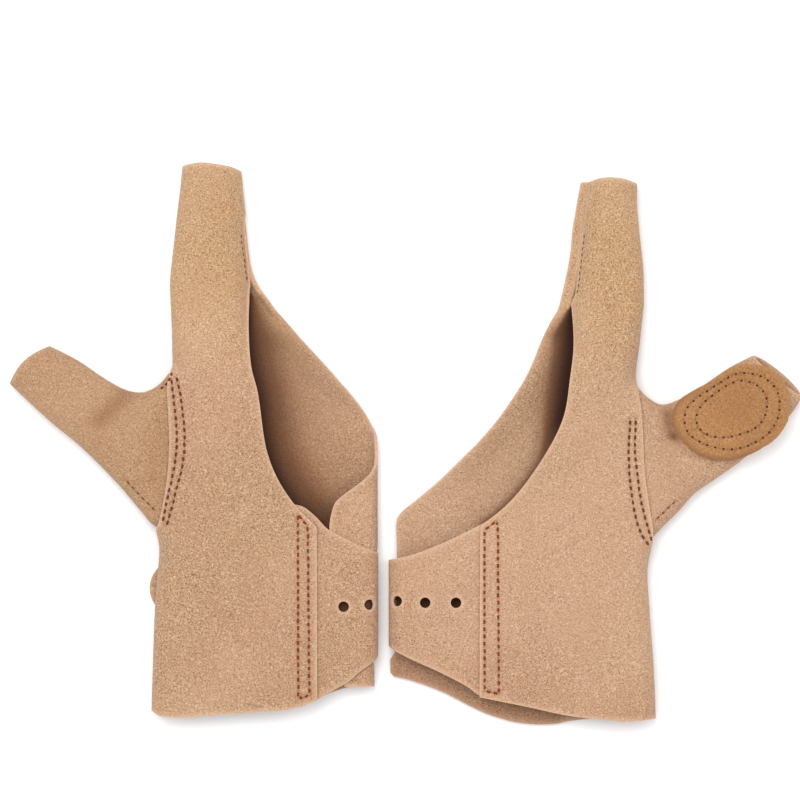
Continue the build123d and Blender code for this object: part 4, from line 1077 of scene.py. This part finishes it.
def stitch_line(name, seams, trees, material, radius=0.44, share=0.66, proud=0.16, seed=7, fallback=13.0):
    """Single stitches of two-ply thread that leave one needle point and go down at the next."""
    rnd = random.Random(seed)
    verts, faces = [], []
    sides, rings = 10, 11
    for path, pitch, closed in seams:
        pts = places(path, pitch, closed)
        if closed:
            pts = np.vstack([pts, pts[:1]])
        for a, b in zip(pts, pts[1:]):
            d = b - a
            long = np.hypot(*d)
            if long < 0.5:
                continue
            d = d / long
            off = np.array([-d[1], d[0]])
            lean = rnd.uniform(-0.12, 0.12)
            mid = (a + b) / 2 + off * rnd.uniform(-0.08, 0.08)
            half = long * share / 2 * rnd.uniform(0.94, 1.05)
            fat = radius * rnd.uniform(0.92, 1.08)
            spin = rnd.uniform(0, math.pi)
            base = len(verts)
            for i in range(rings):
                v = i / (rings - 1) * 2 - 1
                c = mid + d * half * v + off * (lean * v * half * 0.5)
                z = height(trees, *c)
                if z is None:
                    z = fallback
                dive = abs(v) ** 5
                z = z + proud * (1 - dive) * 1.0 - 0.55 * dive + fat * 0.15
                grow = (1 - abs(v) ** 8) ** 0.5 if abs(v) < 1 else 0.0
                for k in range(sides):
                    q = 2 * math.pi * k / sides
                    r = fat * (0.25 + 0.75 * grow) * (1 + 0.16 * math.cos(2 * (q - spin - v * 3.6)))
                    verts.append((c[0] + off[0] * r * math.cos(q), c[1] + off[1] * r * math.cos(q), z + r * 0.85 * math.sin(q)))
            for i in range(rings - 1):
                for k in range(sides):
                    m = (k + 1) % sides
                    faces.append((base + i * sides + k, base + i * sides + m, base + (i + 1) * sides + m, base + (i + 1) * sides + k))
            faces.append(tuple(base + k for k in range(sides))[::-1])
            faces.append(tuple(base + (rings - 1) * sides + k for k in range(sides)))
    obj = new_mesh(name, verts, faces, [material])
    bm = bmesh.new()
    bm.from_mesh(obj.data)
    bmesh.ops.recalc_face_normals(bm, faces=bm.faces[:])
    for f in bm.faces:
        f.smooth = True
    bm.to_mesh(obj.data)
    bm.free()
    finish_mesh(obj, wear=False)
    return obj


def seam(*names):
    return [(SEAMS[n][0], SEAMS[n][1], n.startswith("patch")) for n in names]


tops_left = surface_of(left_panel)
tops_right = surface_of(right_panel)
pieces_of = []


def place(obj, body, nodes):
    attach(obj, body)
    if nodes:
        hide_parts(*nodes)


place(left_panel, "left_grip", ["left_front_panel", "left_back_panel", "left_back_flap", "left_radial_fold", "left_index_sleeve"])
place(right_panel, "right_grip", ["right_front_panel", "right_back_panel", "right_radial_fold", "right_index_sleeve"])
place(left_thumb, "left_grip", ["left_thumb_sleeve"])
place(right_thumb, "right_grip", ["right_thumb_sleeve"])
place(patch, "right_grip", ["right_thumb_patch"])

left_strap_thread = stitch_line("left_strap_stitches", seam("left_strap"), tops_left, RUST, seed=11)
left_thumb_thread = stitch_line("left_thumb_stitches", seam("left_thumb_1", "left_thumb_2", "left_web"), surface_of(left_panel, left_thumb), TAN_THREAD, seed=12)
left_index_thread = stitch_line("left_index_stitches", seam("left_index"), tops_left, BROWN, 0.27, 0.6, seed=13)
left_seam_thread = stitch_line("left_thumb_seam_stitches", seam("left_thumb"), surface_of(left_thumb), BROWN, 0.27, 0.6, seed=14)
right_strap_thread = stitch_line("right_strap_stitches", seam("right_strap"), tops_right, RUST, seed=21)
right_thumb_thread = stitch_line("right_thumb_stitches", seam("right_thumb_1", "right_thumb_2"), tops_right, TAN_THREAD, seed=22)
right_index_thread = stitch_line("right_index_stitches", seam("right_index"), tops_right, BROWN, 0.27, 0.6, seed=23)
right_seam_thread = stitch_line("right_thumb_seam_stitches", seam("right_thumb"), surface_of(right_thumb), BROWN, 0.27, 0.6, seed=24)
patch_thread = stitch_line("right_patch_stitches", seam("patch_outer", "patch_inner"), surface_of(patch), thread("thread_patch", srgb(84, 30, 14), srgb(54, 18, 8)), 0.36, 0.34, 0.10, seed=25, fallback=17.0)

for obj, body, node in (
    (left_strap_thread, "left_grip", "left_strap_thread"), (left_thumb_thread, "left_grip", "left_thumb_thread"),
    (left_index_thread, "left_grip", "left_index_seam"), (left_seam_thread, "left_grip", "left_thumb_seam"),
    (right_strap_thread, "right_grip", "right_strap_thread"), (right_thumb_thread, "right_grip", "right_thumb_thread"),
    (right_index_thread, "right_grip", "right_index_seam"), (right_seam_thread, "right_grip", "right_thumb_seam"),
    (patch_thread, "right_grip", "right_patch_thread"),
):
    place(obj, body, [node])

for node in ("left_stud", "left_stud_screw", "right_stud", "right_stud_screw"):
    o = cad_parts[node]
    o.data.materials.clear()
    o.data.materials.append(BRASS)

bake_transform(left_strap)
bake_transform(right_strap)
for obj, nodes in ((left_strap, ["left_strap_root", "left_strap_tail"]), (right_strap, ["right_strap_root", "right_strap_tail"])):
    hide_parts(*nodes)


def pattern_area(obj):
    """Half the surface of a thin closed sheet."""
    return sum(f.area for f in obj.data.polygons) / 2


for o in (left_panel, right_panel, left_thumb, right_thumb, left_strap, right_strap, patch):
    print("AREA", o.name, round(pattern_area(o), 6), [round(v, 4) for v in (left_strap_area, right_strap_area)])

# ---------------------------------------------------------------- table, light and camera
floor_mesh = bpy.data.meshes.new("floor")
floor_mesh.from_pydata([(-6, -6, -0.0001), (6, -6, -0.0001), (6, 6, -0.0001), (-6, 6, -0.0001)], [], [(0, 1, 2, 3)])
floor = bpy.data.objects.new("floor", floor_mesh)
bpy.context.scene.collection.objects.link(floor)
white = Nodes("floor_white")
white.b.inputs["Base Color"].default_value = (0.93, 0.93, 0.935, 1.0)
white.b.inputs["Roughness"].default_value = 0.9
white.b.inputs["Specular IOR Level"].default_value = 0.1
floor_mesh.materials.append(white.m)

world = bpy.data.worlds.new("studio")
bpy.context.scene.world = world
world.use_nodes = True
world.node_tree.nodes["Background"].inputs["Color"].default_value = (1.0, 1.0, 1.0, 1.0)
world.node_tree.nodes["Background"].inputs["Strength"].default_value = 0.93


def area_light(name, at, size, power, aim=(0.0, 0.0, 0.0), tone=(1.0, 1.0, 1.0)):
    data = bpy.data.lights.new(name, "AREA")
    data.shape, data.size, data.energy, data.color = "DISK", size, power, tone
    obj = bpy.data.objects.new(name, data)
    bpy.context.scene.collection.objects.link(obj)
    obj.location = at
    obj.rotation_mode = "QUATERNION"
    obj.rotation_quaternion = (Vector(aim) - Vector(at)).to_track_quat("-Z", "Y")
    return obj


area_light("key", (-0.36, 0.55, 1.90), 1.2, 22.5)
area_light("fill", (0.7, 0.1, 1.9), 1.2, 5.5)

scene = bpy.context.scene
scene.view_settings.view_transform = "Standard"
scene.view_settings.look = "None"
camera = bpy.data.cameras.new("camera")
camera_obj = bpy.data.objects.new("camera", camera)
scene.collection.objects.link(camera_obj)
camera.sensor_width = 36.0
camera.lens = 300.0
camera.clip_start, camera.clip_end = 0.05, 20.0
camera_obj.location = (-0.00236, 0.0174, 2.675)
camera_obj.rotation_mode = "QUATERNION"
camera_obj.rotation_quaternion = Vector((0, 0, -1)).to_track_quat("-Z", "Y")
scene.camera = camera_obj
